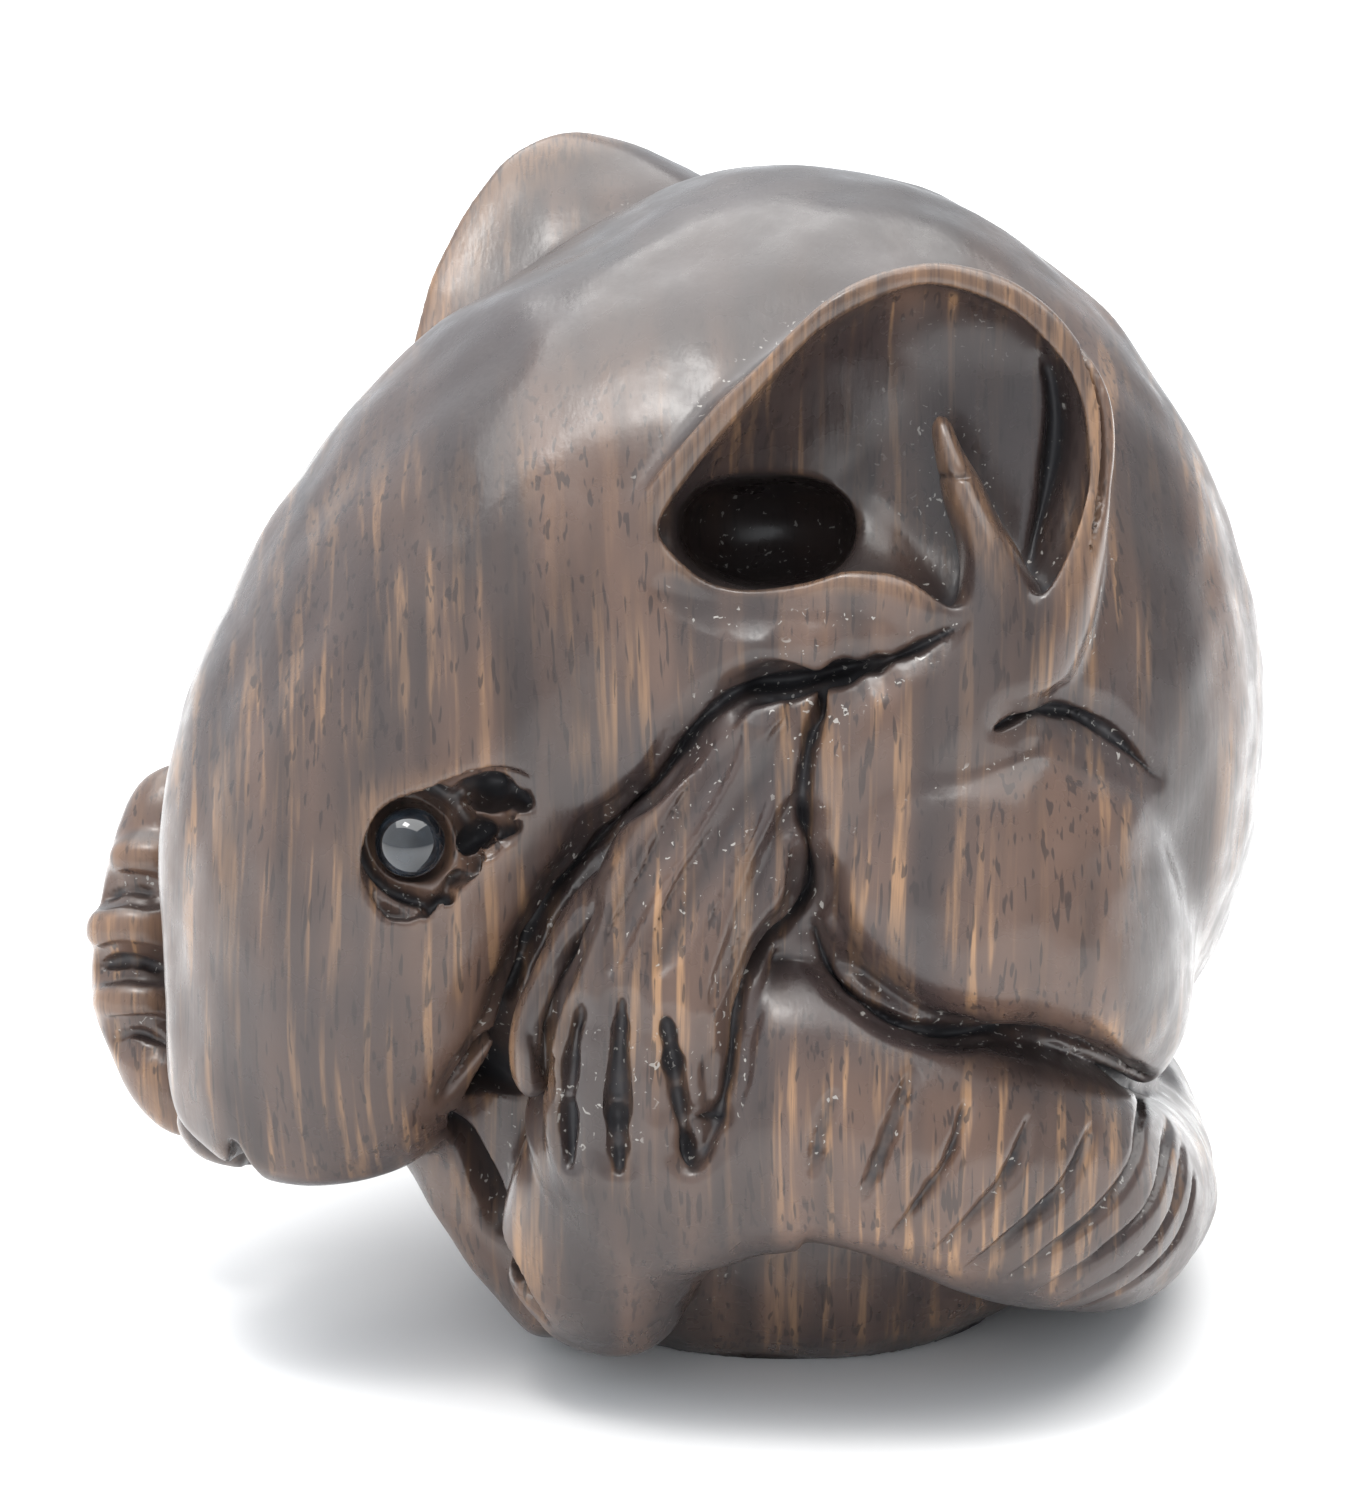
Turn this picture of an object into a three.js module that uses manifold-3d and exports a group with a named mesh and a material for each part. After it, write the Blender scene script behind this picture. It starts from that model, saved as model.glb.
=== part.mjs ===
// A netsuke carved as a curled mouse: one solid of wood with an inlaid bead for each eye.
// Millimetres, +Z up. The origin is in the middle of the flat spot under the base that the
// carving rests on, and the mouse lies with its near cheek and paw toward -Y.
import * as THREE from 'three';
import { ParametricGeometry } from 'three/addons/geometries/ParametricGeometry.js';
import { mergeVertices } from 'three/addons/utils/BufferGeometryUtils.js';
import Module from 'manifold-3d';

const wasm = await Module();
wasm.setup();

// Driving dimensions, in millimetres and degrees.
const overallScale = 1;
const tip = THREE.MathUtils.degToRad(16);
const bodyMiddle = [-4, -0.8, 19.5];
const beadDiameter = 2.3;
const beadGap = 0.3;
const earWall = 0.8;
const earDepth = 5.2;
const fineness = 0.76;

// Every mass is placed by across, up and out: millimetres from the middle of the body on a
// frame that is tipped back by `tip`, so that out is the side of the near cheek and paw.
const acrossAxis = new THREE.Vector3(1, 0, 0);
const upAxis = new THREE.Vector3(0, Math.sin(tip), Math.cos(tip));
const outAxis = new THREE.Vector3(0, -Math.cos(tip), Math.sin(tip));
const middle = new THREE.Vector3(...bodyMiddle);

function at([across, up, out]) {
  return middle.clone()
    .addScaledVector(acrossAxis, across)
    .addScaledVector(upAxis, up)
    .addScaledVector(outAxis, out);
}

// The mouse's own plane of symmetry runs through muzzle, forehead and rump.
const leftward = new THREE.Vector3()
  .addScaledVector(acrossAxis, 0.49)
  .addScaledVector(upAxis, -0.195)
  .addScaledVector(outAxis, 0.85)
  .normalize();
const onPlane = at([2.5, 19.1, 3.15]);

function mirrored(point) {
  const distance = point.clone().sub(onPlane).dot(leftward);
  return point.clone().addScaledVector(leftward, -2 * distance);
}

// Turns an open or seamed three.js geometry into a closed solid that faces out.
function solid(geometry) {
  const bare = geometry.index ? geometry : mergeVertices(geometry);
  bare.deleteAttribute('normal');
  bare.deleteAttribute('uv');
  const merged = mergeVertices(bare, 1e-4);
  const corners = Array.from(merged.index.array);
  const triangles = [];
  for (let i = 0; i < corners.length; i += 3) {
    const [a, b, c] = corners.slice(i, i + 3);
    if (a !== b && b !== c && c !== a) triangles.push(a, b, c);
  }
  const points = merged.attributes.position;
  if (signedVolume(points, triangles) < 0) triangles.reverse();
  return new wasm.Manifold(new wasm.Mesh({
    numProp: 3,
    vertProperties: new Float32Array(points.array),
    triVerts: new Uint32Array(triangles),
  }));
}

function signedVolume(points, triangles) {
  const [a, b, c] = [new THREE.Vector3(), new THREE.Vector3(), new THREE.Vector3()];
  let sum = 0;
  for (let i = 0; i < triangles.length; i += 3) {
    a.fromBufferAttribute(points, triangles[i]);
    b.fromBufferAttribute(points, triangles[i + 1]);
    c.fromBufferAttribute(points, triangles[i + 2]);
    sum += a.dot(b.cross(c)) / 6;
  }
  return sum;
}

// A limb: a closed tube along a smooth path through its stations, each [across, up, out,
// half width, half depth]. The section is a superellipse of the given power, and both ends
// close over the given share of the length like the end of an egg.
function limb(stations, { around = 14, along = 14, power = 2, ends = [0.2, 0.2], facing = outAxis,
  place = at } = {}) {
  const path = new THREE.CatmullRomCurve3(stations.map((s) => place(s)));
  const girth = new THREE.CatmullRomCurve3(
    stations.map((s) => new THREE.Vector3(s[3], s[4] ?? s[3], 0)), false, 'catmullrom', 0.5);
  const round = (share) => Math.sqrt(Math.max(0, 1 - Math.max(0, 1 - share) ** 2));
  const swell = (value) => Math.sign(value) * Math.abs(value) ** (2 / power);
  const skin = (u, v, target) => {
    const t = 0.5 - 0.5 * Math.cos(Math.PI * v);
    const angle = 2 * Math.PI * (u % 1);
    const tangent = path.getTangent(t);
    const side = tangent.clone().cross(facing).normalize();
    const front = side.clone().cross(tangent);
    const radii = girth.getPoint(t);
    const closing = round(t / ends[0]) * round((1 - t) / ends[1]);
    target.copy(path.getPoint(t))
      .addScaledVector(side, radii.x * closing * swell(Math.cos(angle)))
      .addScaledVector(front, radii.y * closing * swell(Math.sin(angle)));
  };
  return new ParametricGeometry(skin, detail(around), detail(along));
}

// An egg: an ellipsoid on its long axis, made as a limb of one girth with round ends.
function egg(centre, axis, [long, wide, deep], options = {}) {
  const half = axis.clone().setLength(long);
  const stations = [-1, 0, 1].map((share) => [share, wide, deep]);
  const place = ([share]) => centre.clone().addScaledVector(half, share);
  const girths = stations.map(([share]) => [share, 0, 0, wide, deep]);
  return limb(girths, { ends: [0.5, 0.5], ...options, place });
}

// A lens: a closed outline swollen to the front and to the back of its centre.
function lens(outline, centre, front, back, { around = 24, along = 8, power = 2 } = {}) {
  const edge = new THREE.CatmullRomCurve3(outline, true, 'catmullrom', 0.5);
  const skin = (u, v, target) => {
    const spread = Math.sin(Math.PI * v) ** (2 / power);
    const rise = Math.abs(Math.cos(Math.PI * v)) ** (2 / power);
    const spoke = edge.getPoint(u % 1).sub(centre);
    const lift = spoke.dot(outAxis);
    const height = (v < 0.5 ? front : -back) * rise + lift * spread * spread;
    target.copy(spoke.addScaledVector(outAxis, -lift).multiplyScalar(spread))
      .add(centre)
      .addScaledVector(outAxis, height);
  };
  return new ParametricGeometry(skin, detail(around), detail(along));
}

function detail(count) {
  return Math.max(6, 2 * Math.round(count * fineness / 2));
}

// The same shape on the other side of the mouse's plane of symmetry, moved by `shift`.
function farSide(geometry, shift = new THREE.Vector3()) {
  const copy = geometry.clone();
  const points = copy.attributes.position;
  for (let i = 0; i < points.count; i += 1) {
    const moved = mirrored(new THREE.Vector3().fromBufferAttribute(points, i)).add(shift);
    points.setXYZ(i, moved.x, moved.y, moved.z);
  }
  return copy;
}

// Trunk: a leaning egg that makes the whole back of the curled body.
const trunkMiddle = at([5.8, 3, -1]);
const trunkLean = THREE.MathUtils.degToRad(17.8);
const trunkAxis = new THREE.Vector3()
  .addScaledVector(acrossAxis, Math.sin(trunkLean))
  .addScaledVector(upAxis, -Math.cos(trunkLean));
const trunkRadii = [17.8, 14.5, 16.5];

function trunk() {
  return egg(trunkMiddle, trunkAxis, trunkRadii, { around: 28, along: 22 });
}

// Head: from the nape over the forehead down to the blunt muzzle.
const headStations = [
  [4.4, 13.6, 0, 7.9, 7.5],
  [0.6, 10.4, 2, 8.4, 9],
  [-2.2, 7.6, 3.6, 8.7, 9.8],
  [-5.1, 4.8, 4.6, 8.3, 9.8],
  [-7.7, 1.4, 5.3, 7.7, 9.3],
  [-9.6, -2, 5.8, 7.2, 8.5],
  [-10.8, -5.9, 5.7, 6.5, 7.3],
  [-11.9, -9.5, 5.2, 5.4, 5.9],
  [-12.75, -12.1, 4.5, 4.55, 4.6],
  [-13.2, -14.1, 3.8, 3.2, 3.4],
];

function head() {
  return limb(headStations, { around: 24, along: 24, power: 2.35, ends: [0.2, 0.08],
    facing: leftward });
}

// Base: the rump and belly drawn together into a low mass that meets the ground.
const baseMiddle = new THREE.Vector3(0, 0, 7.5);
const baseRadii = [13, 9.4, 11.6];

function base() {
  return egg(baseMiddle, acrossAxis, baseRadii, { around: 24, along: 14, power: 3,
    facing: new THREE.Vector3(0, -1, 0) });
}

// Haunch: the thigh folded against the side, with a sharp outline.
const haunchOutline = [
  [4.9, -1.6, 11],
  [5, -4.6, 11.5],
  [5.8, -6.8, 11],
  [7.5, -8.4, 10.5],
  [9.5, -9.3, 9.5],
  [12.2, -9.8, 8.5],
  [14.3, -10.5, 7],
  [16.2, -11.3, 4.5],
  [17.5, -9.6, 4],
  [17.8, -7.2, 4],
  [17.6, -4.4, 4.5],
  [17.1, -2.7, 5],
  [16.1, -0.8, 6.5],
  [14.3, 0.4, 8],
  [12.5, 1.1, 9.5],
  [10.8, 0.9, 10.5],
  [8.4, 0.3, 11],
  [6.1, -0.3, 11],
];

function haunch() {
  return lens(haunchOutline.map(at), at([11.3, -5.1, 7]), 8.6, 6, { around: 24, along: 12 });
}

// Tail: thick, from the rump round the right side and under the near paw to a bent knee.
const tailStations = [
  [9.6, -9.4, -14, 4.2],
  [13.7, -11.6, -13, 4],
  [15.4, -13.6, -9, 3.7],
  [15.6, -15.1, -4, 3.6],
  [15, -15.5, 1, 3.7],
  [13.6, -15.1, 5.5, 4],
  [10.8, -13.8, 9, 4.4, 4.2],
  [7.4, -12.4, 10.4, 4.4, 4.2],
  [4.5, -11.5, 10.7, 5, 4],
  [1.8, -11.9, 10.4, 5, 3.8],
  [-0.6, -13.2, 9.6, 4.6, 3.9],
  [-2, -14.7, 8, 4, 4],
];
const kneeStations = [
  [0, -13.2, 9.4, 4, 4],
  [-1.6, -14.8, 8, 3.9, 4],
  [-2.3, -16.6, 6.8, 3.5, 3.6],
  [-2.2, -18, 5.4, 2.9, 3],
  [-2, -19.2, 4, 2.2, 2.4],
];
const footStations = [
  [-2.9, -19.8, 2.4, 1.7, 3],
  [-4.7, -17.7, 2, 1.9, 3],
  [-6.5, -15.2, 1.5, 2, 2.8],
  [-8.3, -12.4, 0.6, 2.1, 2.7],
  [-10.6, -10.4, -1.6, 2.3, 2.6],
  [-13.6, -9.2, -3.6, 1.9, 2.2],
];

function tail() {
  return limb(tailStations, { around: 16, along: 28, ends: [0.05, 0.06] });
}

function knee() {
  return limb(kneeStations, { around: 14, along: 8 });
}

function foot() {
  return limb(footStations, { around: 12, along: 12, ends: [0.1, 0.1] });
}

// Chest: fills the hollow behind the muzzle, paw and foot.
const chestStations = [
  [-4, -0.3, 2, 5, 6],
  [-5.2, -6.2, 2, 5.8, 6],
  [-5.2, -11.3, 1, 4.6, 5.6],
  [-3.6, -15.6, 0, 4.2, 5.6],
];

const farFlankStations = [
  [-8, 0, -4, 5, 4],
  [-12, -5, -3.5, 5, 3.5],
  [-13.5, -9, -2.5, 3.2, 2.6],
];

function chest() {
  return limb(chestStations, { around: 14, along: 10 });
}

function farFlank() {
  return limb(farFlankStations, { around: 12, along: 8 });
}

// Near arm: it widens from under the cheek to the paw, which presses on the tail. The thumb
// lies along its left edge.
const armStations = [
  [4.9, 2.9, 11.2, 0.8, 2],
  [4, 1.2, 12, 1.9, 2.2],
  [2.9, -1, 12.4, 2.7, 2.2],
  [1.4, -3.4, 12.7, 3.2, 2.1],
  [0.2, -5.8, 12.9, 3.1, 2],
  [-0.6, -8.4, 13, 3.2, 1.9],
  [-1.1, -11, 12.7, 3.2, 1.8],
  [-1.3, -13.4, 11.8, 2.8, 1.8],
  [-1.4, -15.4, 10.4, 2.1, 1.6],
];
const thumbStations = [
  [-1.9, -3.6, 11.6, 0.5, 1],
  [-2.9, -5.4, 12, 0.7, 1.2],
  [-3.9, -7.4, 12, 0.8, 1.3],
  [-4.6, -9.3, 11.7, 0.75, 1.3],
  [-4.7, -11.3, 11.2, 0.6, 1.2],
];

function arm() {
  return limb(armStations, { around: 14, along: 16, power: 2.5, ends: [0.06, 0.1] });
}

function thumb() {
  return limb(thumbStations, { around: 8, along: 8, ends: [0.2, 0.15] });
}

// Far arm and paw: the paw's back and three knuckles show past the muzzle.
const farArmStations = [
  [-6.9, 7.2, -6.3, 2.2, 2.6],
  [-8.6, 2.8, -8.6, 3.6, 3.6],
  [-10.8, -1.8, -8.5, 4, 3.6],
  [-15.4, -4.7, -6.5, 3.2, 3],
  [-17.7, -6.4, -4.5, 2.6, 2.4],
];
const farPalmMiddle = [-16.6, -7.4, -3.8];
const farPalmRadii = [5, 2.4, 2.6];
const farHandStations = [
  [-16.9, -0.4, -3, 1],
  [-18, -2.4, -2.5, 1.5],
  [-18.7, -6, -2, 1.7],
  [-18.8, -8.6, -2, 1.7],
  [-18.1, -11.2, -1.5, 1.4],
  [-16.6, -13.4, -1, 1.2],
];
// Each knuckle: its place, then its radii across, up and out.
const farKnuckles = [
  [-18.6, -3.8, -1.2, 1.3, 0.9, 1],
  [-18.9, -6.3, -1.1, 1.8, 1.25, 1.4],
  [-18.8, -8.8, -1.1, 1.7, 1.05, 1.3],
];

function farArm() {
  return limb(farArmStations, { around: 12, along: 12, facing: leftward, ends: [0.12, 0.15] });
}

function farPalm() {
  return egg(at(farPalmMiddle), upAxis, farPalmRadii, { around: 10, along: 8 });
}

function farHand() {
  return limb(farHandStations, { around: 10, along: 12, ends: [0.15, 0.15] });
}

function knuckle([across, up, out, ...radii]) {
  return egg(at([across, up, out]), acrossAxis, radii, { around: 8, along: 6 });
}

// Lower lip: a thin edge that shows under the muzzle, left of the mouth's notch.
const lowerLipStations = [
  [-17, -12.3, 2.6, 0.6, 1.4],
  [-15.9, -13.4, 2.8, 0.75, 1.6],
  [-14.6, -13.8, 2.8, 0.7, 1.6],
  [-13.2, -13.9, 2.8, 0.6, 1.5],
];
const mouthStations = [
  [-14.2, -15.2, 2.5, 0.5, 1],
  [-14.4, -14.2, 6.5, 0.45, 1],
  [-14.7, -13.2, 8.6, 0.25, 0.6],
];

function lowerLip() {
  return limb(lowerLipStations, { around: 8, along: 6 });
}

function mouth() {
  return limb(mouthStations, { around: 8, along: 6, ends: [0.05, 0.3] });
}

// Ear: a hollow leaf with a thin rim. A fold of skin rises inside it and runs down into the
// haunch, the rim's lower lobe runs down beside it, and an oval hole opens at the front.
const earRim = [
  [-1.5, 6.6, 13],
  [-0.5, 8.8, 14],
  [2.3, 12.1, 15],
  [5, 14.6, 15],
  [7.8, 15.8, 14.2],
  [10.3, 15.5, 13.4],
  [12.3, 14.3, 13],
  [13.9, 12.1, 13],
  [14.3, 9.6, 13.4],
  [13.8, 6.5, 13.8],
  [12.5, 4.2, 14],
  [10.1, 3.6, 13.8],
  [7.3, 4.5, 13.6],
  [4.1, 4.7, 13.4],
  [0.5, 4.9, 13.2],
];
const earMiddle = [6.8, 9.9, 11];
const bowlMiddle = [6.4, 9.1, 14.1];
const lobeStations = [
  [13.2, 8.8, 12.8, 0.9, 1.6],
  [12.7, 6.4, 13.2, 1.3, 1.7],
  [11.6, 4.1, 13.5, 1.9, 1.8],
  [10.3, 2.2, 13.6, 2.1, 1.8],
  [9, 0.2, 13.3, 2.1, 1.8],
  [7.6, -2.2, 12.6, 2.2, 1.6],
];
const foldStations = [
  [8.7, 10.6, 12.2, 0.25, 1.2],
  [8.95, 9.7, 12.6, 0.4, 1.4],
  [9.4, 8.4, 13, 0.7, 1.6],
  [9.9, 7.1, 13.3, 0.85, 1.8],
  [10.3, 5.8, 13.5, 1.15, 1.9],
  [10.5, 4.4, 13.6, 1.7, 2],
  [9.9, 2.6, 13.6, 2, 2],
  [8.7, 0.4, 13.3, 2.2, 2],
  [7.6, -1.9, 12.6, 2.3, 1.8],
];
const holeStations = [
  [2.8, 7, 17, 3, 1.85],
  [3, 7.2, 12, 3, 1.85],
  [3.2, 7.5, 3, 2.4, 1.6],
];
const pocketStations = [
  [11.7, 12.2, 12.6, 0.5, 1.6],
  [12.3, 10.8, 12.2, 1.1, 3],
  [12.5, 9.2, 12.2, 1.1, 3.4],
  [12.2, 7.4, 12.6, 0.8, 3],
  [11.7, 5.3, 13.6, 0.3, 1.6],
];
const farEarShift = new THREE.Vector3(1.2, 0, 1.6);

function earShell() {
  return lens(earRim.map(at), at(earMiddle), 2.4, 6, { around: 30, along: 10, power: 2.5 });
}

function earBowl() {
  const centre = at(bowlMiddle);
  const edge = earRim.map((place) => {
    const spoke = at(place).sub(centre);
    return centre.clone().add(spoke.setLength(spoke.length() - earWall));
  });
  return lens(edge, centre, 5, earDepth, { around: 30, along: 10, power: 1.6 });
}

function earLobe() {
  return limb(lobeStations, { around: 10, along: 10, ends: [0.1, 0.3] });
}

function earFold() {
  return limb(foldStations, { around: 10, along: 12, ends: [0.08, 0.3] });
}

function earHole() {
  return limb(holeStations, { around: 14, along: 8, power: 2.6, ends: [0.05, 0.2],
    facing: upAxis });
}

function earPocket() {
  return limb(pocketStations, { around: 8, along: 8, power: 1.4 });
}

// Eyes: a rough almond socket, and a polished bead that stands in it without touching.
const eyePlace = [-8.6, -3, 13.4];
const farEyeDepth = 0.8;
const socketOutline = [
  [-10.2, -3.7, 13.6],
  [-9.8, -5.1, 13.6],
  [-9, -5.7, 13.6],
  [-7.4, -4.4, 13.6],
  [-5.4, -2.4, 13.6],
  [-4.4, -1.2, 13.6],
  [-5.7, -0.5, 13.6],
  [-7.9, -1.1, 13.6],
  [-9.6, -1.9, 13.6],
];
const socketMiddle = [-7.8, -3, 13.4];

function bead() {
  const ball = new THREE.SphereGeometry(beadDiameter / 2, 14, 10);
  return ball.translate(...at(eyePlace).toArray());
}

function socket() {
  return lens(socketOutline.map(at), at(socketMiddle), 2, 0.9, { around: 16, along: 6 });
}

function beadSeat() {
  const ball = new THREE.SphereGeometry(beadDiameter / 2 + beadGap, 14, 10);
  return ball.translate(...at(eyePlace).toArray());
}

function farEye(geometry) {
  return farSide(geometry, leftward.clone().multiplyScalar(farEyeDepth));
}

// Knife lines that part one form from the next, each place given by across, up, half width
// and depth. They are sunk from the surface that faces out.
const cheekLine = [
  [8, 3.2, 0.5, 1.6],
  [4.1, 2.3, 0.55, 1.7],
  [0.8, 0.8, 0.5, 1.6],
  [-2.1, -2.5, 0.5, 1.6],
  [-4.4, -5.5, 0.5, 1.6],
  [-6.1, -9.2, 0.45, 1.4],
];
const chinHollow = [
  [-5.1, -8.2, 0.4, 1],
  [-5.7, -10.2, 0.9, 2.2],
  [-6.2, -11.6, 1.1, 2],
];
const armLine = [
  [5.1, 2.3, 0.6, 1.4],
  [4.3, -0.2, 0.5, 1.4],
  [4.4, -3.2, 0.45, 1.4],
  [3.6, -5.8, 0.6, 1.5],
  [2.1, -8.4, 0.45, 1.2],
  [1.6, -12, 0.4, 1],
];
const haunchLine = [
  [4.5, -5.6, 0.4, 1.2],
  [6.1, -8.2, 0.4, 1.2],
  [9.5, -9.2, 0.4, 1.2],
  [12.6, -9.5, 0.4, 1.1],
  [15.4, -10.8, 0.35, 0.9],
];
const footLine = [
  [-7.3, -12.8, 0.4, 1.2],
  [-6.3, -15.2, 0.7, 1.7],
  [-5, -18, 0.5, 1.2],
];
const fingerLines = [
  [[-1.7, -8, 0.4, 0.9], [-1.85, -11, 0.45, 1], [-1.8, -13.8, 0.4, 0.9]],
  [[-0.3, -8.6, 0.35, 0.8], [0.2, -11.2, 0.4, 0.9], [0.6, -13.6, 0.35, 0.8]],
  [[-3, -8.2, 0.35, 0.8], [-3.4, -11, 0.4, 0.9], [-3.45, -13.7, 0.35, 0.8]],
];
const tailRings = [
  [[11.6, -11.9, 0.3, 0.4], [11, -13.6, 0.35, 0.5], [8.5, -16.4, 0.3, 0.4]],
  [[13.7, -12.3, 0.3, 0.4], [12.7, -14.4, 0.35, 0.5], [9.6, -17.1, 0.3, 0.4]],
  [[15.7, -11.7, 0.3, 0.4], [15.3, -13.4, 0.35, 0.5], [10.9, -17.5, 0.3, 0.4]],
  [[16.8, -12.6, 0.3, 0.4], [16, -14.8, 0.35, 0.5], [12, -18, 0.3, 0.4]],
];
const farthestOut = 30;

// Finds where a straight look inward along `out` first meets the wood.
function onSurface(mesh, [across, up]) {
  const inward = outAxis.clone().negate();
  const look = new THREE.Raycaster(at([across, up, farthestOut]), inward);
  return look.intersectObject(mesh)[0].point;
}

function knifeLine(mesh, line, options) {
  const stations = line.map(([across, up, half, deep]) => [across, up, 0, half, deep]);
  return limb(stations, { around: 6, along: 8, power: 1.5, ends: [0.25, 0.25], ...options,
    place: (station) => onSurface(mesh, station) });
}

// Everything below the ground plane is ground away to the flat spot that it rests on.
function ground() {
  return new THREE.BoxGeometry(80, 80, 20).translate(0, 0, -10);
}

function carve() {
  let wood = solid(trunk());
  const add = (geometry) => { wood = wood.add(solid(geometry)); };
  const cut = (geometry) => { wood = wood.subtract(solid(geometry)); };
  const masses = [head(), base(), chest(), farFlank(), knee(), tail(), foot(), thumb(), arm(),
    farArm(), farPalm(), farHand(), lowerLip()];
  masses.forEach(add);
  farKnuckles.forEach((place) => add(knuckle(place)));
  add(haunch());
  add(farSide(haunch()));
  const sides = [(geometry) => geometry, (geometry) => farSide(geometry, farEarShift)];
  for (const side of sides) {
    add(side(earShell()));
    add(side(earLobe()));
    cut(side(earBowl()));
    add(side(earFold()));
    cut(side(earHole()));
    cut(side(earPocket()));
  }
  const surface = new THREE.Mesh(toGeometry(wood));
  const long = [cheekLine, armLine, haunchLine];
  long.forEach((line) => cut(knifeLine(surface, line, { along: 14 })));
  const short = [chinHollow, footLine, ...fingerLines, ...tailRings];
  short.forEach((line) => cut(knifeLine(surface, line)));
  cut(mouth());
  for (const side of [(geometry) => geometry, farEye]) {
    cut(side(socket()));
    cut(side(beadSeat()));
  }
  cut(ground());
  return wood;
}

function toGeometry(manifold) {
  const mesh = manifold.getMesh();
  const geometry = new THREE.BufferGeometry();
  geometry.setAttribute('position', new THREE.BufferAttribute(mesh.vertProperties, 3));
  geometry.setIndex(new THREE.BufferAttribute(mesh.triVerts, 1));
  geometry.computeVertexNormals();
  return geometry.scale(overallScale, overallScale, overallScale);
}

const wood = new THREE.MeshStandardMaterial({ color: 0x4a3a33, roughness: 0.4, metalness: 0 });
const eyeBlack = new THREE.MeshStandardMaterial({ color: 0x14171a, roughness: 0.1, metalness: 0 });

function named(name, geometry, material) {
  const mesh = new THREE.Mesh(geometry, material);
  mesh.name = name;
  return mesh;
}

const netsuke = new THREE.Group();
netsuke.add(named('carving', toGeometry(carve()), wood));
netsuke.add(named('left_eye', toGeometry(solid(bead())), eyeBlack));
netsuke.add(named('right_eye', toGeometry(solid(farEye(bead()))), eyeBlack));

export default netsuke;
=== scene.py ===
# A netsuke carved as a curled mouse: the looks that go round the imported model.
# Tables are in millimetres on the carving's own tipped frame, meshes in metres.
import math

import bmesh
import bpy
import numpy as np
import openvdb
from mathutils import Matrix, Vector


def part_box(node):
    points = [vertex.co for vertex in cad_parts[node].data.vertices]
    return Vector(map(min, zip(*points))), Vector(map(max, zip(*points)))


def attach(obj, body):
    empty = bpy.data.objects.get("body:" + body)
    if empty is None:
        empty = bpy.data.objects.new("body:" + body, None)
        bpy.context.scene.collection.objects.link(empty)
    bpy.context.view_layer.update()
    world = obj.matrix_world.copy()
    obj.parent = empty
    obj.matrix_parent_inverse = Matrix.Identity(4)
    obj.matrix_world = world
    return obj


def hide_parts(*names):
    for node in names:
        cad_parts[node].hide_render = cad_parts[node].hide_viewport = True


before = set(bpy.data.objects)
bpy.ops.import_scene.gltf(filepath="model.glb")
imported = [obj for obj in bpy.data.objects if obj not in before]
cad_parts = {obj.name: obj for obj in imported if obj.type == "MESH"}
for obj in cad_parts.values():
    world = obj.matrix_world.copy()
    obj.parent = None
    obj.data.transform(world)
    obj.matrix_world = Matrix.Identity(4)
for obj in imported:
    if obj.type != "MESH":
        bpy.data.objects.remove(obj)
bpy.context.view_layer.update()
print("frame loaded")

millimetre = 0.001
seed = 7


# ---- the carving's own frame

pose = {
    "middle": [-4.0, -0.8, 19.5],  # middle of the body
    "tipDegrees": 16.0,  # the near cheek faces a little upwards
    "leftward": [0.49, -0.195, 0.85],  # normal of the mouse's plane of symmetry
    "onPlane": [2.5, 19.1, 3.15],  # a point on that plane, at the crown
}

tip = math.radians(pose["tipDegrees"])
middle = np.array(pose["middle"])
acrossAxis = np.array([1.0, 0.0, 0.0])
upAxis = np.array([0.0, math.sin(tip), math.cos(tip)])
outAxis = np.array([0.0, -math.cos(tip), math.sin(tip)])
carvingAxes = np.array([acrossAxis, upAxis, outAxis])


# point = middle + across * acrossAxis + up * upAxis + out * outAxis
def at(places):
    return middle + np.asarray(places, float) @ carvingAxes


def unit(vectors):
    return vectors / np.linalg.norm(vectors, axis=-1, keepdims=True)


leftward = unit(np.array(pose["leftward"]) @ carvingAxes)
onPlane = at(pose["onPlane"])


# point minus twice its distance from the plane of symmetry
def mirrored(points):
    return points - 2 * ((points - onPlane) @ leftward)[..., None] * leftward


# ---- shapes as two-parameter grids

# smooth curve through values: between two of them a cubic whose tangents come from the
# neighbours, with steps measured as the chord to a power (0.5 for paths, 0 for girths)
def through(values, t, power=0.5, closed=False):
    v = np.asarray(values, float)
    ends = (v[-1:], v[:2]) if closed else (2 * v[0] - v[1], 2 * v[-1] - v[-2])
    v = np.vstack([ends[0], v, ends[1]])
    spans = len(v) - 3
    where = np.clip(t, 0, 1) * spans
    k = np.minimum(where.astype(int), spans - 1)
    f = (where - k)[:, None]
    p0, p1, p2, p3 = v[k], v[k + 1], v[k + 2], v[k + 3]

    def step(a, b):
        return np.maximum(np.linalg.norm(b - a, axis=1, keepdims=True), 1e-4) ** power

    d0, d1, d2 = step(p0, p1), step(p1, p2), step(p2, p3)
    t1 = ((p1 - p0) / d0 - (p2 - p0) / (d0 + d1) + (p2 - p1) / d1) * d1
    t2 = ((p2 - p1) / d1 - (p3 - p1) / (d1 + d2) + (p3 - p2) / d2) * d1
    c2 = -3 * p1 + 3 * p2 - 2 * t1 - t2
    c3 = 2 * p1 - 2 * p2 + t1 + t2
    return p1 + t1 * f + c2 * f ** 2 + c3 * f ** 3


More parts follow.
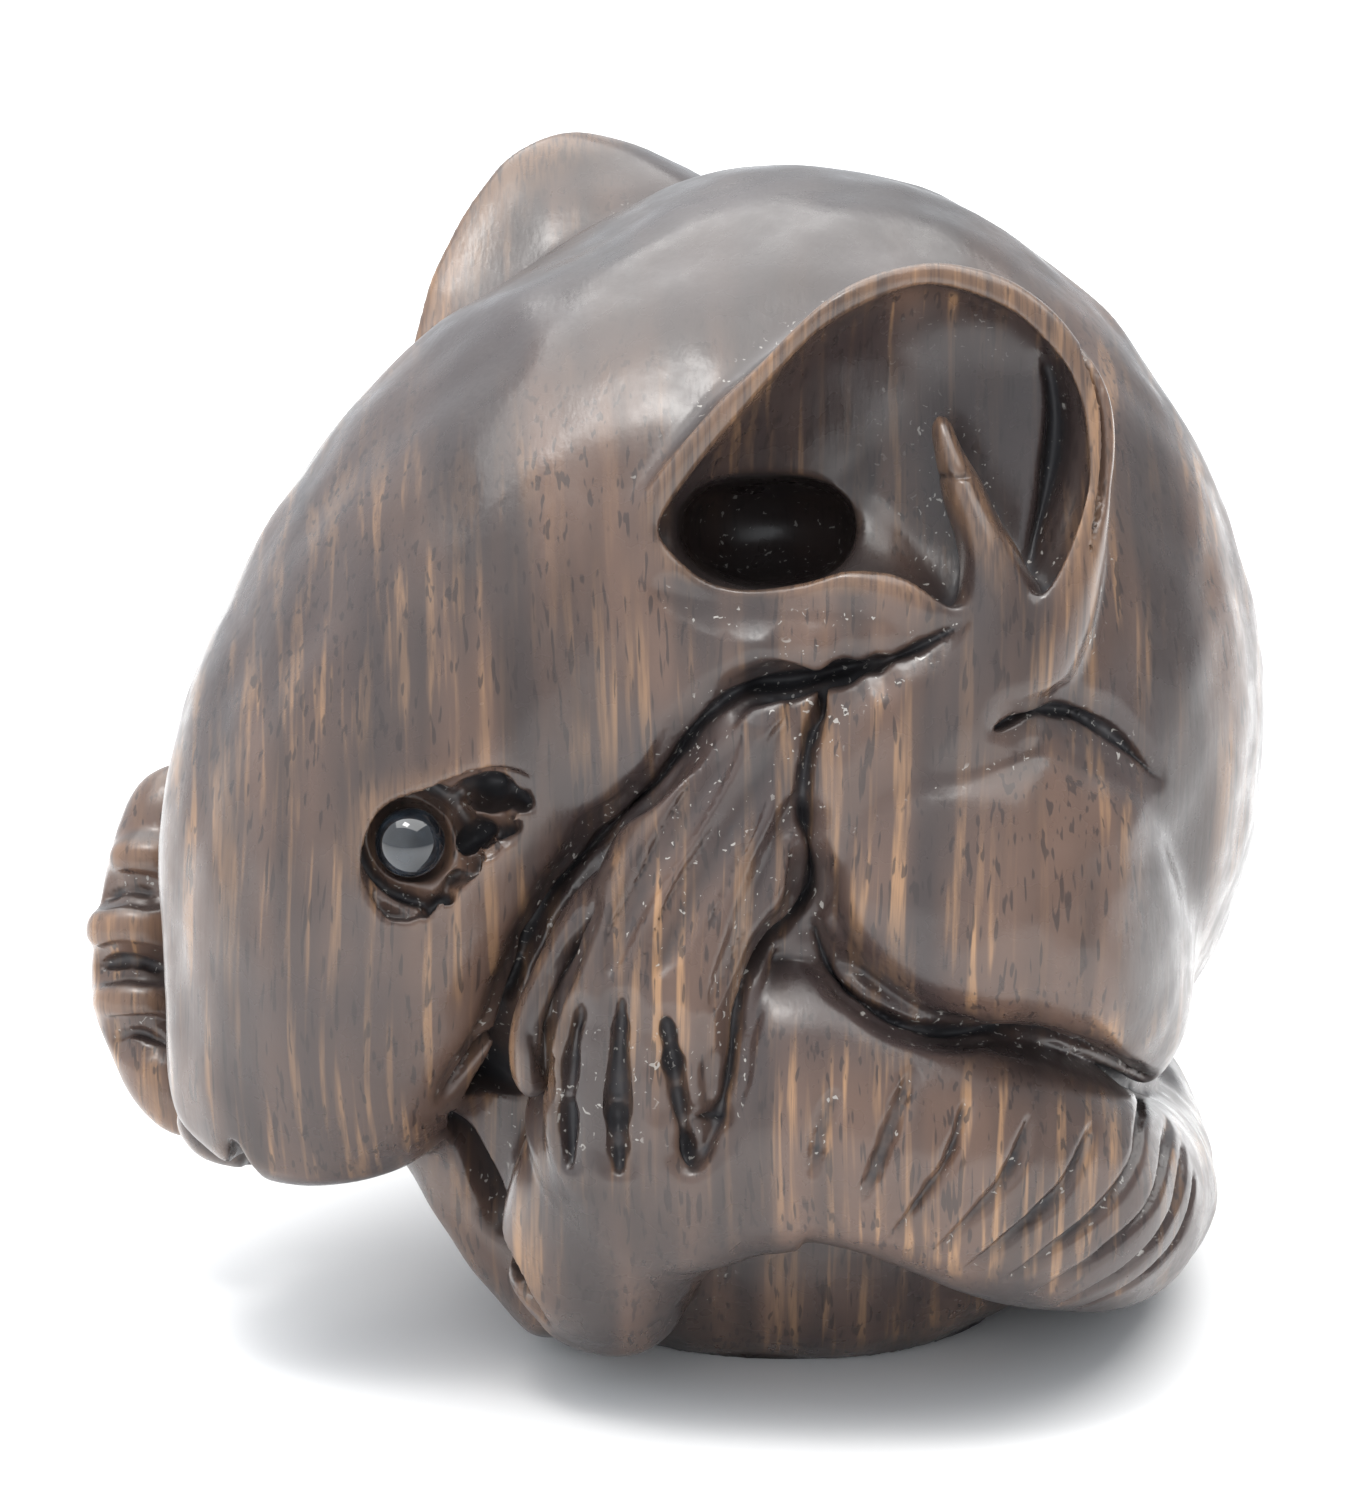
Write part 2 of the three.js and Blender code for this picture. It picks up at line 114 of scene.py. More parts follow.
# quads of a grid that closes round its columns
def gridQuads(rows, cols):
    r = np.arange(rows - 1)[:, None]
    c = np.arange(cols)[None, :]
    n = (c + 1) % cols
    corners = [r * cols + c, r * cols + n, (r + 1) * cols + n, (r + 1) * cols + c]
    return np.stack(corners, -1).reshape(-1, 4)


# sign(value) * |value| to the power 2 / power: round for 2, straight sides for 1
def swell(values, power):
    return np.sign(values) * np.abs(values) ** (2 / power)


# share of the full girth at t: a quarter ellipse over each end's share of the length
def closing(t, ends):
    start = np.sqrt(np.clip(1 - np.clip(1 - t / ends[0], 0, 1) ** 2, 0, 1))
    return start * np.sqrt(np.clip(1 - np.clip(1 - (1 - t) / ends[1], 0, 1) ** 2, 0, 1))


# how much a section swells toward its corners: 1 + bulge * sin(2 * angle) squared, with the
# bulge that a superellipse of the given power has there
def squared(angle, power):
    return 1 + (2 ** (0.5 - 1 / power) - 1) * np.sin(2 * angle) ** 2


# skin of a limb at (t, angle): path(t) + (side * wide(t) * cos + front * deep(t) * sin) squared
# off toward its corners
def limbSkin(stations, t, angle, power=2.0, ends=(0.2, 0.2), facing=outAxis, placed=False):
    s = np.array([list(row) + [row[3]] * (5 - len(row)) for row in stations], float)
    centres = s[:, :3] if placed else at(s[:, :3])
    path = through(centres, t)
    girth = through(s[:, 3:5], t, 0.0)
    nudge = 1e-4
    after = through(centres, np.minimum(t + nudge, 1))
    before = through(centres, np.maximum(t - nudge, 0))
    tangent = unit(after - before)
    side = unit(np.cross(tangent, facing))
    front = np.cross(side, tangent)
    share = closing(t, ends)
    around = squared(angle, power)
    wide = (girth[:, :1] * share[:, None]) * np.cos(angle) * around
    deep = (girth[:, 1:2] * share[:, None]) * np.sin(angle) * around
    return path[:, None] + wide[..., None] * side[:, None] + deep[..., None] * front[:, None]


# closed limb: its skin on a grid whose rows crowd toward both ends, t = (1 - cos(pi v)) / 2
def limb(stations, power=2.0, ends=(0.2, 0.2), facing=outAxis, rows=72, cols=56, placed=False):
    t = 0.5 - 0.5 * np.cos(np.linspace(0, np.pi, rows))
    angle = np.linspace(0, 2 * np.pi, cols, endpoint=False)[None, :]
    skin = limbSkin(stations, t, angle, power, ends, facing, placed)
    return skin.reshape(-1, 3), gridQuads(rows, cols)


# egg: a limb of one girth with round ends, along an axis through its centre
def egg(centre, axis, radii, power=2.0, facing=outAxis, rows=64, cols=64):
    half = unit(np.asarray(axis, float)) * radii[0]
    stations = [list(centre + k * half) + [radii[1], radii[2]] for k in (-1, 0, 1)]
    return limb(stations, power, (0.5, 0.5), facing, rows, cols, placed=True)


# lens: spokes from the centre to a closed outline, spread by sin and raised by cos, each to
# the power 2 / power, so the outline is met at the middle row
def lens(outline, centre, front, back, power=2.0, rows=56, cols=128):
    edge = through(outline, np.linspace(0, 1, cols, endpoint=False), 0.0, closed=True)
    v = np.linspace(0, np.pi, rows)
    spread = np.sin(v) ** (2 / power)
    height = np.where(v < np.pi / 2, front, -back) * np.abs(np.cos(v)) ** (2 / power)
    spoke = edge - centre
    lift = spoke @ outAxis
    flat = spoke - lift[:, None] * outAxis
    height = height[:, None] + lift[None] * spread[:, None] ** 2
    points = centre + flat[None] * spread[:, None, None] + outAxis * height[..., None]
    return points.reshape(-1, 3), gridQuads(rows, cols)


# a mesh moved to a side of the animal; one mirrored to the far side has its quads turned round
def sided(mesh, side):
    points, quads = mesh
    return side(points), quads if side is nearSide else quads[:, ::-1].copy()


def nearSide(points):
    return points


# ---- the block of wood, as distances to the surface on a grid of small cubes

block = {
    "low": [-26.5, -21.5, -1.0],
    "high": [18.0, 20.5, 41.0],
    "cube": 0.15,
    "reach": 2.4,  # distances are kept this far from the surface
    "leastSpan": 1.2,  # a mesh's own distances are worked out at least this far from it
    "margin": 0.6,  # and this far past the blend
    "dirtDepth": 1.1,  # a cut this deep holds all its dirt
    "dirtAbove": 0.3,
}


class Block:
    def __init__(self, low, high, cube, reach):
        self.cube = cube
        self.reach = reach
        self.low = np.floor(np.array(low) / cube).astype(int)
        size = np.ceil(np.array(high) / cube).astype(int) - self.low + 1
        self.field = np.full(size, reach, np.float32)
        self.grime = np.zeros(size, np.float32)  # how far dirt has settled where the knife went

    # signed distance to one closed mesh, and the part of the grid that it covers
    def distance(self, mesh, reach):
        points, quads = mesh
        grid = openvdb.FloatGrid.createLevelSetFromPolygons(
            np.ascontiguousarray(points, dtype=np.float32),
            quads=np.ascontiguousarray(quads, dtype=np.uint32),
            transform=openvdb.createLinearTransform(self.cube), halfWidth=reach / self.cube)
        low, high = grid.evalActiveVoxelBoundingBox()
        low = np.maximum(np.array(low), self.low)
        high = np.minimum(np.array(high), self.low + self.field.shape - 1)
        values = np.empty(high - low + 1, np.float32)
        grid.copyToArray(values, ijk=tuple(int(x) for x in low))
        part = tuple(slice(a - o, b - o + 1) for a, b, o in zip(low, high, self.low))
        return values, part

    def span(self, k, reach=0.0):
        return min(self.reach, max(k + block["margin"], block["leastSpan"], reach))

    # smooth union: min(f, a) less a quarter of the square of what |f - a| lacks of k, over k
    def add(self, mesh, k=0.0, reach=0.0):
        a, part = self.distance(mesh, self.span(k, reach))
        f = self.field[part]
        joined = np.minimum(f, a)
        if k > 0:
            joined -= np.maximum(k - np.abs(f - a), 0) ** 2 / (4 * k)
        self.field[part] = joined

    # smooth cut: the same with max and the other sign, against the outside of the mesh. Dirt
    # settles in what it takes away
    def cut(self, mesh, k=0.0, dirt=0.0):
        a, part = self.distance(mesh, self.span(k))
        a = -a
        f = self.field[part]
        left = np.maximum(f, a)
        if k > 0:
            left += np.maximum(k - np.abs(f - a), 0) ** 2 / (4 * k)
        if dirt > 0:
            taken = np.clip((left - f) / block["dirtDepth"], 0, 1) * (f < block["dirtAbove"])
            self.grime[part] = np.maximum(self.grime[part], dirt * taken)
        self.field[part] = left

    # the field at any points, linear between grid corners
    def sample(self, points, field=None, cube=None, low=None):
        field = self.field if field is None else field
        cube = cube or self.cube
        low = self.low if low is None else low
        q = points / cube - low
        i = np.clip(np.floor(q).astype(int), 0, np.array(field.shape) - 2)
        f = np.clip(q - i, 0, 1)
        total = 0
        for corner in np.ndindex(2, 2, 2):
            share = np.abs(1 - np.array(corner) - f).prod(axis=1)
            total = total + share * field[tuple((i + corner).T)]
        return total

    # slope of the field by differences over one cube each way
    def slope(self, points):
        parts = []
        for axis in np.eye(3) * self.cube:
            parts.append(self.sample(points + axis) - self.sample(points - axis))
        return np.stack(parts, -1) / (2 * self.cube)

    # slides points in along a direction until they meet the surface
    def press(self, points, direction, reach=24.0):
        steps = np.arange(0, 2 * reach, self.cube * 0.5)
        start = np.asarray(points, float) + reach * direction
        samples = start[:, None] - steps[None, :, None] * direction
        inside = self.sample(samples.reshape(-1, 3)).reshape(samples.shape[:2]) < 0
        first = np.argmax(inside, axis=1)
        return start - steps[first][:, None] * direction

    def polygons(self):
        grid = openvdb.FloatGrid(self.reach)
        grid.transform = openvdb.createLinearTransform(self.cube)
        grid.copyFromArray(self.field, ijk=tuple(int(x) for x in self.low))
        return grid.convertToPolygons(0.0, 0.0)


# smooth random line: a cubic through values drawn between -1 and 1
def wander(t, knots, number):
    drawn = np.random.default_rng(seed + number).uniform(-1, 1, (knots, 1))
    return through(drawn, t, 0.0)[:, 0]


knife = {
    "section": 1.35,  # power of the lozenge that a cut is in section
    "cols": 20,
    "rowsPerKnot": 5,  # how often a ragged edge turns
    "ends": (0.3, 0.3),
    "blend": 0.12,
    "valley": {"share": [1, 1, 2.5, 0.5], "ragged": 0.15, "k": 0.55},
    "cleft": {"share": [1, 1, 0.8, 0.75], "ragged": 0.35, "k": 0.12},
    "normalTurns": 6,  # least smoothing of the surface normals along a cut
}


# groove: a tube of lozenge section sunk along a line on the surface. Its half width and depth
# go as the closing of a limb, times 1 + ragged * a smooth random line
def groove(wood, line, half, deep, normal, ends=knife["ends"], ragged=0.0, number=0,
           k=knife["blend"], dirt=1.0):
    rows, cols = len(line), knife["cols"]
    t = np.linspace(0, 1, rows)
    tangent = unit(np.gradient(line, axis=0))
    side = unit(np.cross(tangent, normal))
    front = np.cross(side, tangent)
    knots = max(4, rows // knife["rowsPerKnot"])
    share = closing(t, ends) + 1e-3
    wide = half * share * (1 + ragged * wander(t, knots, number))
    sunk = deep * share * (1 + ragged * wander(t, knots, number + 50))
    angle = np.linspace(0, 2 * np.pi, cols, endpoint=False)[None, :]
    aside = wide[:, None] * swell(np.cos(angle), knife["section"])
    inward = sunk[:, None] * swell(np.sin(angle), knife["section"])
    skin = line[:, None] + aside[..., None] * side[:, None] + inward[..., None] * front[:, None]
    wood.cut((skin.reshape(-1, 3), gridQuads(rows, cols)), k, dirt)


# rows of points smoothed along: every inner row a quarter of its neighbours and half of itself
def softened(rows, turns):
    for turn in range(turns):
        rows[1:-1] = (rows[:-2] + 2 * rows[1:-1] + rows[2:]) / 4
    return rows


# a groove along a smooth line through places [across, up, half width, depth], pressed onto
# the surface; one half width and depth may stand for all the places
def scored(wood, places, half=None, deep=None, side=nearSide, rows=60, soften=8, **more):
    t = np.linspace(0, 1, rows)
    table = np.array(places, float)
    flat = np.column_stack([table[:, :2], np.zeros(len(table))])
    start = through(at(flat), t)
    direction = (side(start + outAxis) - side(start))[0]
    line = softened(wood.press(side(start), direction), soften)
    normal = softened(unit(wood.slope(line)), max(soften, knife["normalTurns"]))
    if half is None:
        half, deep = through(table[:, 2:4], t, 0.0).T
    groove(wood, line, half, deep, unit(normal), **more)


# a main crease: a wide shallow valley with a narrow ragged cut down its middle
def creased(wood, places, half=None, deep=None, **more):
    table = np.array(places, float)
    if half is not None:
        table = np.column_stack([table, np.full(len(table), half), np.full(len(table), deep)])
    for cut in (knife["valley"], knife["cleft"]):
        scored(wood, table * np.array(cut["share"]), ragged=cut["ragged"], k=cut["k"], **more)


# a row of like cuts, each with its places, half width and depth, and its own random number
def carveRow(wood, cuts, first, carve=scored, **more):
    for number, (places, half, deep) in enumerate(cuts):
        carve(wood, places, half, deep, number=first + number, **more)


# ---- the masses of the body

body = {
    "trunkMiddle": [5.8, 3, -1],
    "trunkLean": 17.8,
    "trunkRadii": [17.8, 14.5, 16.5],
    "head": [[4.4, 13.6, 0, 7.9, 7.5], [0.6, 10.4, 2, 8.4, 9], [-2.2, 7.6, 3.6, 8.7, 9.8],
             [-5.1, 4.8, 4.6, 8.3, 9.8], [-7.7, 1.4, 5.3, 7.7, 9.3], [-9.6, -2, 5.8, 7.2, 8.5],
             [-10.8, -5.9, 5.7, 6.5, 7.3], [-11.9, -9.5, 5.2, 5.4, 5.9],
             [-12.75, -12.1, 4.5, 4.55, 4.6], [-13.2, -14.1, 3.8, 3.2, 3.4]],
    "headPower": 2.35,
    "headEnds": (0.2, 0.08),
    "baseMiddle": [0, 0, 7.5],
    "baseRadii": [13, 9.4, 11.6],
    "basePower": 3,
    "chest": [[-4, -0.3, 2, 5, 6], [-5.2, -6.2, 2, 5.8, 6], [-5.2, -11.3, 1, 4.6, 5.6],
              [-3.6, -15.6, 0, 4.2, 5.6]],
    "farFlank": [[-8, 0, -4, 5, 4], [-12, -5, -3.5, 5, 3.5], [-13.5, -9, -2.5, 3.2, 2.6]],
}

limbs = {
    "haunchOutline": [[4.9, -1.6, 11], [5, -4.6, 11.5], [5.8, -6.8, 11], [7.5, -8.4, 10.5],
                      [9.5, -9.3, 9.5], [12.2, -9.8, 8.5], [14.3, -10.5, 7], [16.2, -11.3, 4.5],
                      [17.5, -9.6, 4], [17.8, -7.2, 4], [17.6, -4.4, 4.5], [17.1, -2.7, 5],
                      [16.1, -0.8, 6.5], [14.3, 0.4, 8], [12.5, 1.1, 9.5], [10.8, 0.9, 10.5],
                      [8.4, 0.3, 11], [6.1, -0.3, 11]],
    "haunchMiddle": [11.3, -5.1, 7],
    "haunchSwell": [8.6, 6],
    "tail": [[9.6, -9.4, -14, 4.2], [13.7, -11.6, -13, 4], [15.4, -13.6, -9, 3.7],
             [15.6, -15.1, -4, 3.6], [15, -15.5, 1, 3.7], [13.6, -15.1, 5.5, 4],
             [10.8, -13.8, 9, 4.4, 4.2], [7.4, -12.4, 10.4, 4.4, 4.2], [4.5, -11.5, 10.7, 5, 4],
             [1.8, -11.9, 10.4, 5, 3.8], [-0.6, -13.2, 9.6, 4.6, 3.9], [-2, -14.7, 8, 4, 4]],
    "knee": [[0, -13.2, 9.4, 4, 4], [-1.6, -14.8, 8, 3.9, 4], [-2.3, -16.6, 6.8, 3.5, 3.6],
             [-2.2, -18, 5.4, 2.9, 3], [-2, -19.2, 4, 2.2, 2.4]],
    "foot": [[-2.9, -19.8, 2.4, 1.7, 3], [-4.7, -17.7, 2, 1.9, 3], [-6.5, -15.2, 1.5, 2, 2.8],
             [-8.3, -12.4, 0.6, 2.1, 2.7], [-10.6, -10.4, -1.6, 2.3, 2.6],
             [-13.6, -9.2, -3.6, 1.9, 2.2]],
    "arm": [[4.9, 2.9, 11.2, 0.8, 2], [4.0, 1.2, 12, 1.9, 2.2], [2.9, -1, 12.4, 2.7, 2.2],
            [1.4, -3.4, 12.7, 3.2, 2.1], [0.2, -5.8, 12.9, 3.1, 2], [-0.6, -8.4, 13, 3.2, 1.9],
            [-1.1, -11, 12.7, 3.2, 1.8], [-1.3, -13.4, 11.8, 2.8, 1.8],
            [-1.4, -15.4, 10.4, 2.1, 1.6]],
    "armPower": 2.5,
    "farArm": [[-6.9, 7.2, -6.3, 2.2, 2.6], [-8.6, 2.8, -8.6, 3.6, 3.6],
               [-10.8, -1.8, -8.5, 4, 3.6], [-15.4, -4.7, -6.5, 3.2, 3],
               [-17.7, -6.4, -4.5, 2.6, 2.4]],
    "farPalm": [-16.6, -7.4, -3.8],
    "farPalmRadii": [5, 2.4, 2.6],
    "farHand": [[-16.9, -0.4, -3, 1], [-18, -2.4, -2.5, 1.5], [-18.7, -6, -2, 1.7],
                [-18.8, -8.6, -2, 1.7], [-18.1, -11.2, -1.5, 1.4], [-16.6, -13.4, -1, 1.2]],
    "thumb": [[-1.9, -3.6, 11.6, 0.5, 1], [-2.9, -5.4, 12, 0.7, 1.2], [-3.9, -7.4, 12, 0.8, 1.3],
              [-4.6, -9.3, 11.7, 0.75, 1.3], [-4.7, -11.3, 11.2, 0.6, 1.2]],
    "farKnuckles": [[-18.6, -3.8, -1.2, 1.3, 0.9, 1], [-18.9, -6.3, -1.1, 1.8, 1.25, 1.4],
                    [-18.8, -8.8, -1.1, 1.7, 1.05, 1.3]],
    "lowerLip": [[-17, -12.3, 2.6, 0.6, 1.4], [-15.9, -13.4, 2.8, 0.75, 1.6],
                 [-14.6, -13.8, 2.8, 0.7, 1.6], [-13.2, -13.9, 2.8, 0.6, 1.5]],
}

# the part of each limb's length that rounds off its first and its last end
roundings = {"farArm": (0.12, 0.15), "farHand": (0.15, 0.15), "lowerLip": (0.2, 0.2),
             "knee": (0.2, 0.2), "tail": (0.05, 0.06), "foot": (0.1, 0.1), "thumb": (0.2, 0.15),
             "arm": (0.06, 0.1)}

# how wide the web is where each mass melts into the rest
webs = {"head": 2.0, "base": 2.2, "chest": 1.0, "farFlank": 1.0, "farArm": 0.8, "farPalm": 0.6,
        "farHaunch": 0.5, "farHand": 0.5, "lowerLip": 0.3, "knee": 1.1, "haunch": 0.3, "tail": 0.3,
        "foot": 0.2, "thumb": 0.25, "arm": 0.25, "farKnuckles": 0.35}


def roughOut(wood):
    lean = math.radians(body["trunkLean"])
    trunkAxis = math.sin(lean) * acrossAxis - math.cos(lean) * upAxis
    wood.add(egg(at(body["trunkMiddle"]), trunkAxis, body["trunkRadii"], rows=150, cols=150),
             reach=wood.reach)
    wood.add(limb(body["head"], body["headPower"], body["headEnds"], leftward, 150, 120),
             webs["head"])
    wood.add(egg(np.array(body["baseMiddle"], float), acrossAxis, body["baseRadii"],
                 body["basePower"], np.array([0, -1.0, 0]), 100, 100), webs["base"])
    wood.add(limb(body["chest"]), webs["chest"])
    wood.add(limb(body["farFlank"]), webs["farFlank"])


def haunch():
    front, back = limbs["haunchSwell"]
    return lens(at(limbs["haunchOutline"]), at(limbs["haunchMiddle"]), front, back, rows=90)


def addLimbs(wood):
    def addLimb(name, **more):
        wood.add(limb(limbs[name], ends=roundings[name], **more), webs[name])

    addLimb("farArm", facing=leftward)
    wood.add(egg(at(limbs["farPalm"]), upAxis, limbs["farPalmRadii"]), webs["farPalm"])
    wood.add(sided(haunch(), mirrored), webs["farHaunch"])
    addLimb("farHand")
    addLimb("lowerLip")
    addLimb("knee")
    wood.add(haunch(), webs["haunch"])
    addLimb("tail", rows=220, cols=90)
    addLimb("foot")
    addLimb("thumb")
    addLimb("arm", power=limbs["armPower"], rows=120)
    for place in limbs["farKnuckles"]:
        wood.add(egg(at(place[:3]), acrossAxis, place[3:]), webs["farKnuckles"])


# ---- ears

ear = {
    "rim": [[-1.5, 6.6, 13], [-0.5, 8.8, 14], [2.3, 12.1, 15], [5, 14.6, 15], [7.8, 15.8, 14.2],
            [10.3, 15.5, 13.4], [12.3, 14.3, 13], [13.9, 12.1, 13], [14.3, 9.6, 13.4],
            [13.8, 6.5, 13.8], [12.5, 4.2, 14], [10.1, 3.6, 13.8], [7.3, 4.5, 13.6],
            [4.1, 4.7, 13.4], [0.5, 4.9, 13.2]],
    "middle": [6.8, 9.9, 11],
    "swell": [2.4, 6],
    "power": 2.5,
    "bowlMiddle": [6.4, 9.1, 14.1],
    "bowlSwell": [5, 3.1],
    "bowlPower": 1.7,
    "wall": 0.8,
    "lobe": [[13.2, 8.8, 12.8, 0.9, 1.6], [12.7, 6.4, 13.2, 1.3, 1.7], [11.6, 4.1, 13.5, 1.9, 1.8],
             [10.3, 2.2, 13.6, 2.1, 1.8], [9, 0.2, 13.3, 2.1, 1.8], [7.6, -2.2, 12.6, 2.2, 1.6]],
    "fold": [[8.7, 10.6, 12.2, 0.25, 1.2], [8.95, 9.7, 12.6, 0.4, 1.4], [9.4, 8.4, 13, 0.7, 1.6],
             [9.9, 7.1, 13.3, 0.85, 1.8], [10.3, 5.8, 13.5, 1.15, 1.9], [10.5, 4.4, 13.6, 1.7, 2],
             [9.9, 2.6, 13.6, 2, 2], [8.7, 0.4, 13.3, 2.2, 2], [7.6, -1.9, 12.6, 2.3, 1.8]],
    "hole": [[2.8, 7.0, 17, 3.0, 1.85], [3, 7.2, 12, 3.0, 1.85], [3.2, 7.4, 6.4, 2.6, 1.6]],
    "pocket": [[11.9, 13.4, 13.2, 0.2, 0.8], [12.4, 12, 13, 0.45, 1.5],
               [12.5, 10.4, 12.9, 0.55, 1.8], [12.2, 8.5, 13, 0.55, 1.8],
               [11.8, 6.9, 13.4, 0.45, 1.5], [11.5, 5.7, 13.9, 0.2, 1]],
    "slot": [[12.7, 13.9], [13.7, 12], [14.0, 10], [13.9, 8.2], [13.4, 6.2]],
    "valley": [[-0.6, 5.2], [1.2, 4.7], [4.1, 4.3], [6.2, 4.2], [8, 3.9]],
    "tear": [[8.5, 9.0], [9.0, 8.85], [9.7, 8.9]],
    "farShift": [1.2, 0, 1.6],
}


def farEar(points):
    return mirrored(points) + np.array(ear["farShift"])


def addEar(wood, side):
    rim = at(ear["rim"])
    front, back = ear["swell"]
    wood.add(sided(lens(rim, at(ear["middle"]), front, back, ear["power"]), side), 0.8)
    wood.add(sided(limb(ear["lobe"], ends=(0.1, 0.3)), side), 0.6)
    centre = at(ear["bowlMiddle"])
    spokes = rim - centre
    length = np.linalg.norm(spokes, axis=1, keepdims=True)
    edge = centre + spokes * (length - ear["wall"]) / length
    front, back = ear["bowlSwell"]
    wood.cut(sided(lens(edge, centre, front, back, ear["bowlPower"]), side), 0.3)
    wood.add(sided(limb(ear["fold"], ends=(0.08, 0.25), rows=100), side), 0.4)
    wood.cut(sided(limb(ear["hole"], power=2.3, ends=(0.05, 0.2), facing=upAxis), side), 0.3)
    wood.cut(sided(limb(ear["pocket"], power=1.4, ends=(0.2, 0.2)), side), 0.3, 0.3)
    scored(wood, ear["slot"], 0.13, 0.6, side, soften=30, ends=(0.4, 0.4), k=0.05)
    scored(wood, ear["valley"], 0.8, 0.4, side, ends=(0.4, 0.4), k=0.5, dirt=0.1)
    scored(wood, ear["tear"], 0.1, 0.2, side, rows=24, k=0.05)


# ---- eyes

eye = {
    "socket": [[-10.2, -3.7, 13.6], [-9.8, -5.1, 13.6], [-9, -5.7, 13.6], [-7.4, -4.4, 13.6],
               [-5.4, -2.4, 13.6], [-4.4, -1.2, 13.6], [-5.7, -0.5, 13.6], [-7.9, -1.1, 13.6],
               [-9.6, -1.9, 13.6]],
    "socketMiddle": [-7.8, -3, 13.4],
    "socketSwell": [2, 0.7],
    "ring": [[-6.6, -3.1], [-7.1, -1.9], [-8.3, -1.4], [-9.5, -1.9], [-10, -3.1], [-9.5, -4.3],
             [-8.3, -4.8], [-7.1, -4.3], [-6.6, -3.1]],
    "chips": [[[-7.3, -1.6, 0.3, 0.6], [-6.3, -1.4, 0.6, 1.1], [-5.3, -1.5, 0.5, 1],
               [-4.5, -1.9, 0.2, 0.5]],
              [[-7.0, -3.2, 0.3, 0.6], [-6.1, -2.5, 0.4, 0.9], [-5.2, -2.1, 0.25, 0.7]],
              [[-9.9, -4.6, 0.2, 0.3], [-9.2, -5.3, 0.35, 0.4], [-8, -5.1, 0.3, 0.35],
               [-7.0, -4.6, 0.2, 0.2]],
              [[-6.3, -3.6, 0.2, 0.3], [-5.6, -3, 0.3, 0.4], [-4.9, -2.3, 0.2, 0.3]]],
    "farDepth": 0.8,
    "gap": 0.3,
}

beads = {}
for name in ("left_eye", "right_eye"):
    low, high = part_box(name)
    beads[name] = (np.array((low + high) / 2) / millimetre, (high - low).x / 2 / millimetre)


def farEye(points):
    return mirrored(points) + leftward * eye["farDepth"]


def cutSocket(wood, side, bead):
    centre, radius = beads[bead]
    front, back = eye["socketSwell"]
    wood.cut(sided(lens(at(eye["socket"]), at(eye["socketMiddle"]), front, back), side), 0.1)
    scored(wood, eye["ring"], 0.34, 0.9, side, rows=90, ragged=0.25, number=41, ends=(0.01, 0.01),
           dirt=0.5)
    for number, places in enumerate(eye["chips"]):
        scored(wood, places, side=side, rows=40, soften=2, ragged=0.4, number=42 + number, k=0.1,
               dirt=0.5)
    seat = radius + eye["gap"]
    wood.cut(egg(centre, upAxis, [seat, seat, seat]), 0.1)


# ---- knife work

# main creases in the order of carving: places [across, up] with one half width and depth, or
# [across, up, half width, depth]
creases = {
    "underEar": {"places": [[1.8, 1.6, 0.3, 0.5], [3.4, 2.1, 0.55, 1.2], [5.4, 2.5, 0.5, 1.4],
                            [7.4, 3.1, 0.32, 1.1], [9.3, 4.1, 0.1, 0.4]],
                 "rows": 90, "soften": 60, "number": 6, "ends": (0.3, 0.2)},
    "cheek": {"places": [[6.4, 2.8], [4.1, 2.3], [2.1, 1.9], [0.8, 0.8], [-0.6, -1.0],
                         [-2.1, -2.5], [-3.4, -4.0], [-4.4, -5.5], [-5.2, -7.4], [-6.1, -9.2],
                         [-7.8, -11.6]],
              "half": 0.32, "deep": 1.2, "rows": 140, "soften": 30, "number": 1,
              "ends": (0.1, 0.2)},
    "armRight": {"places": [[5, 2, 0.5, 1.1], [4.6, 1, 0.45, 1.3], [4.3, -0.2, 0.32, 1.2],
                            [4.1, -1.8, 0.28, 1.1], [4.4, -3.2, 0.28, 1.1],
                            [4.4, -4.7, 0.38, 1.4], [3.6, -5.8, 0.42, 1.3],
                            [2.6, -6.9, 0.3, 1.1], [2.1, -8.4, 0.27, 1], [1.8, -10.4, 0.26, 1],
                            [1.3, -12.4, 0.24, 0.9], [0.6, -13.6, 0.16, 0.6]],
                 "rows": 120, "soften": 40, "number": 2, "ends": (0.15, 0.15)},
    "haunchTail": {"places": [[4.5, -5.6], [5.1, -7.3], [6.1, -8.2], [7.7, -9.0], [9.5, -9.2],
                              [11.1, -9.2], [12.6, -9.5], [14.2, -10.2], [16.1, -11.2]],
                   "half": 0.2, "deep": 0.9, "rows": 110, "soften": 30, "number": 3,
                   "ends": (0.1, 0.15)},
    "haunchTop": {"places": [[10.2, 0.6], [11.2, 1.1], [12.7, 1.3], [14.4, 0.5], [16.0, -1.0]],
                  "half": 0.26, "deep": 0.7, "rows": 60, "number": 4, "ends": (0.2, 0.5)},
}

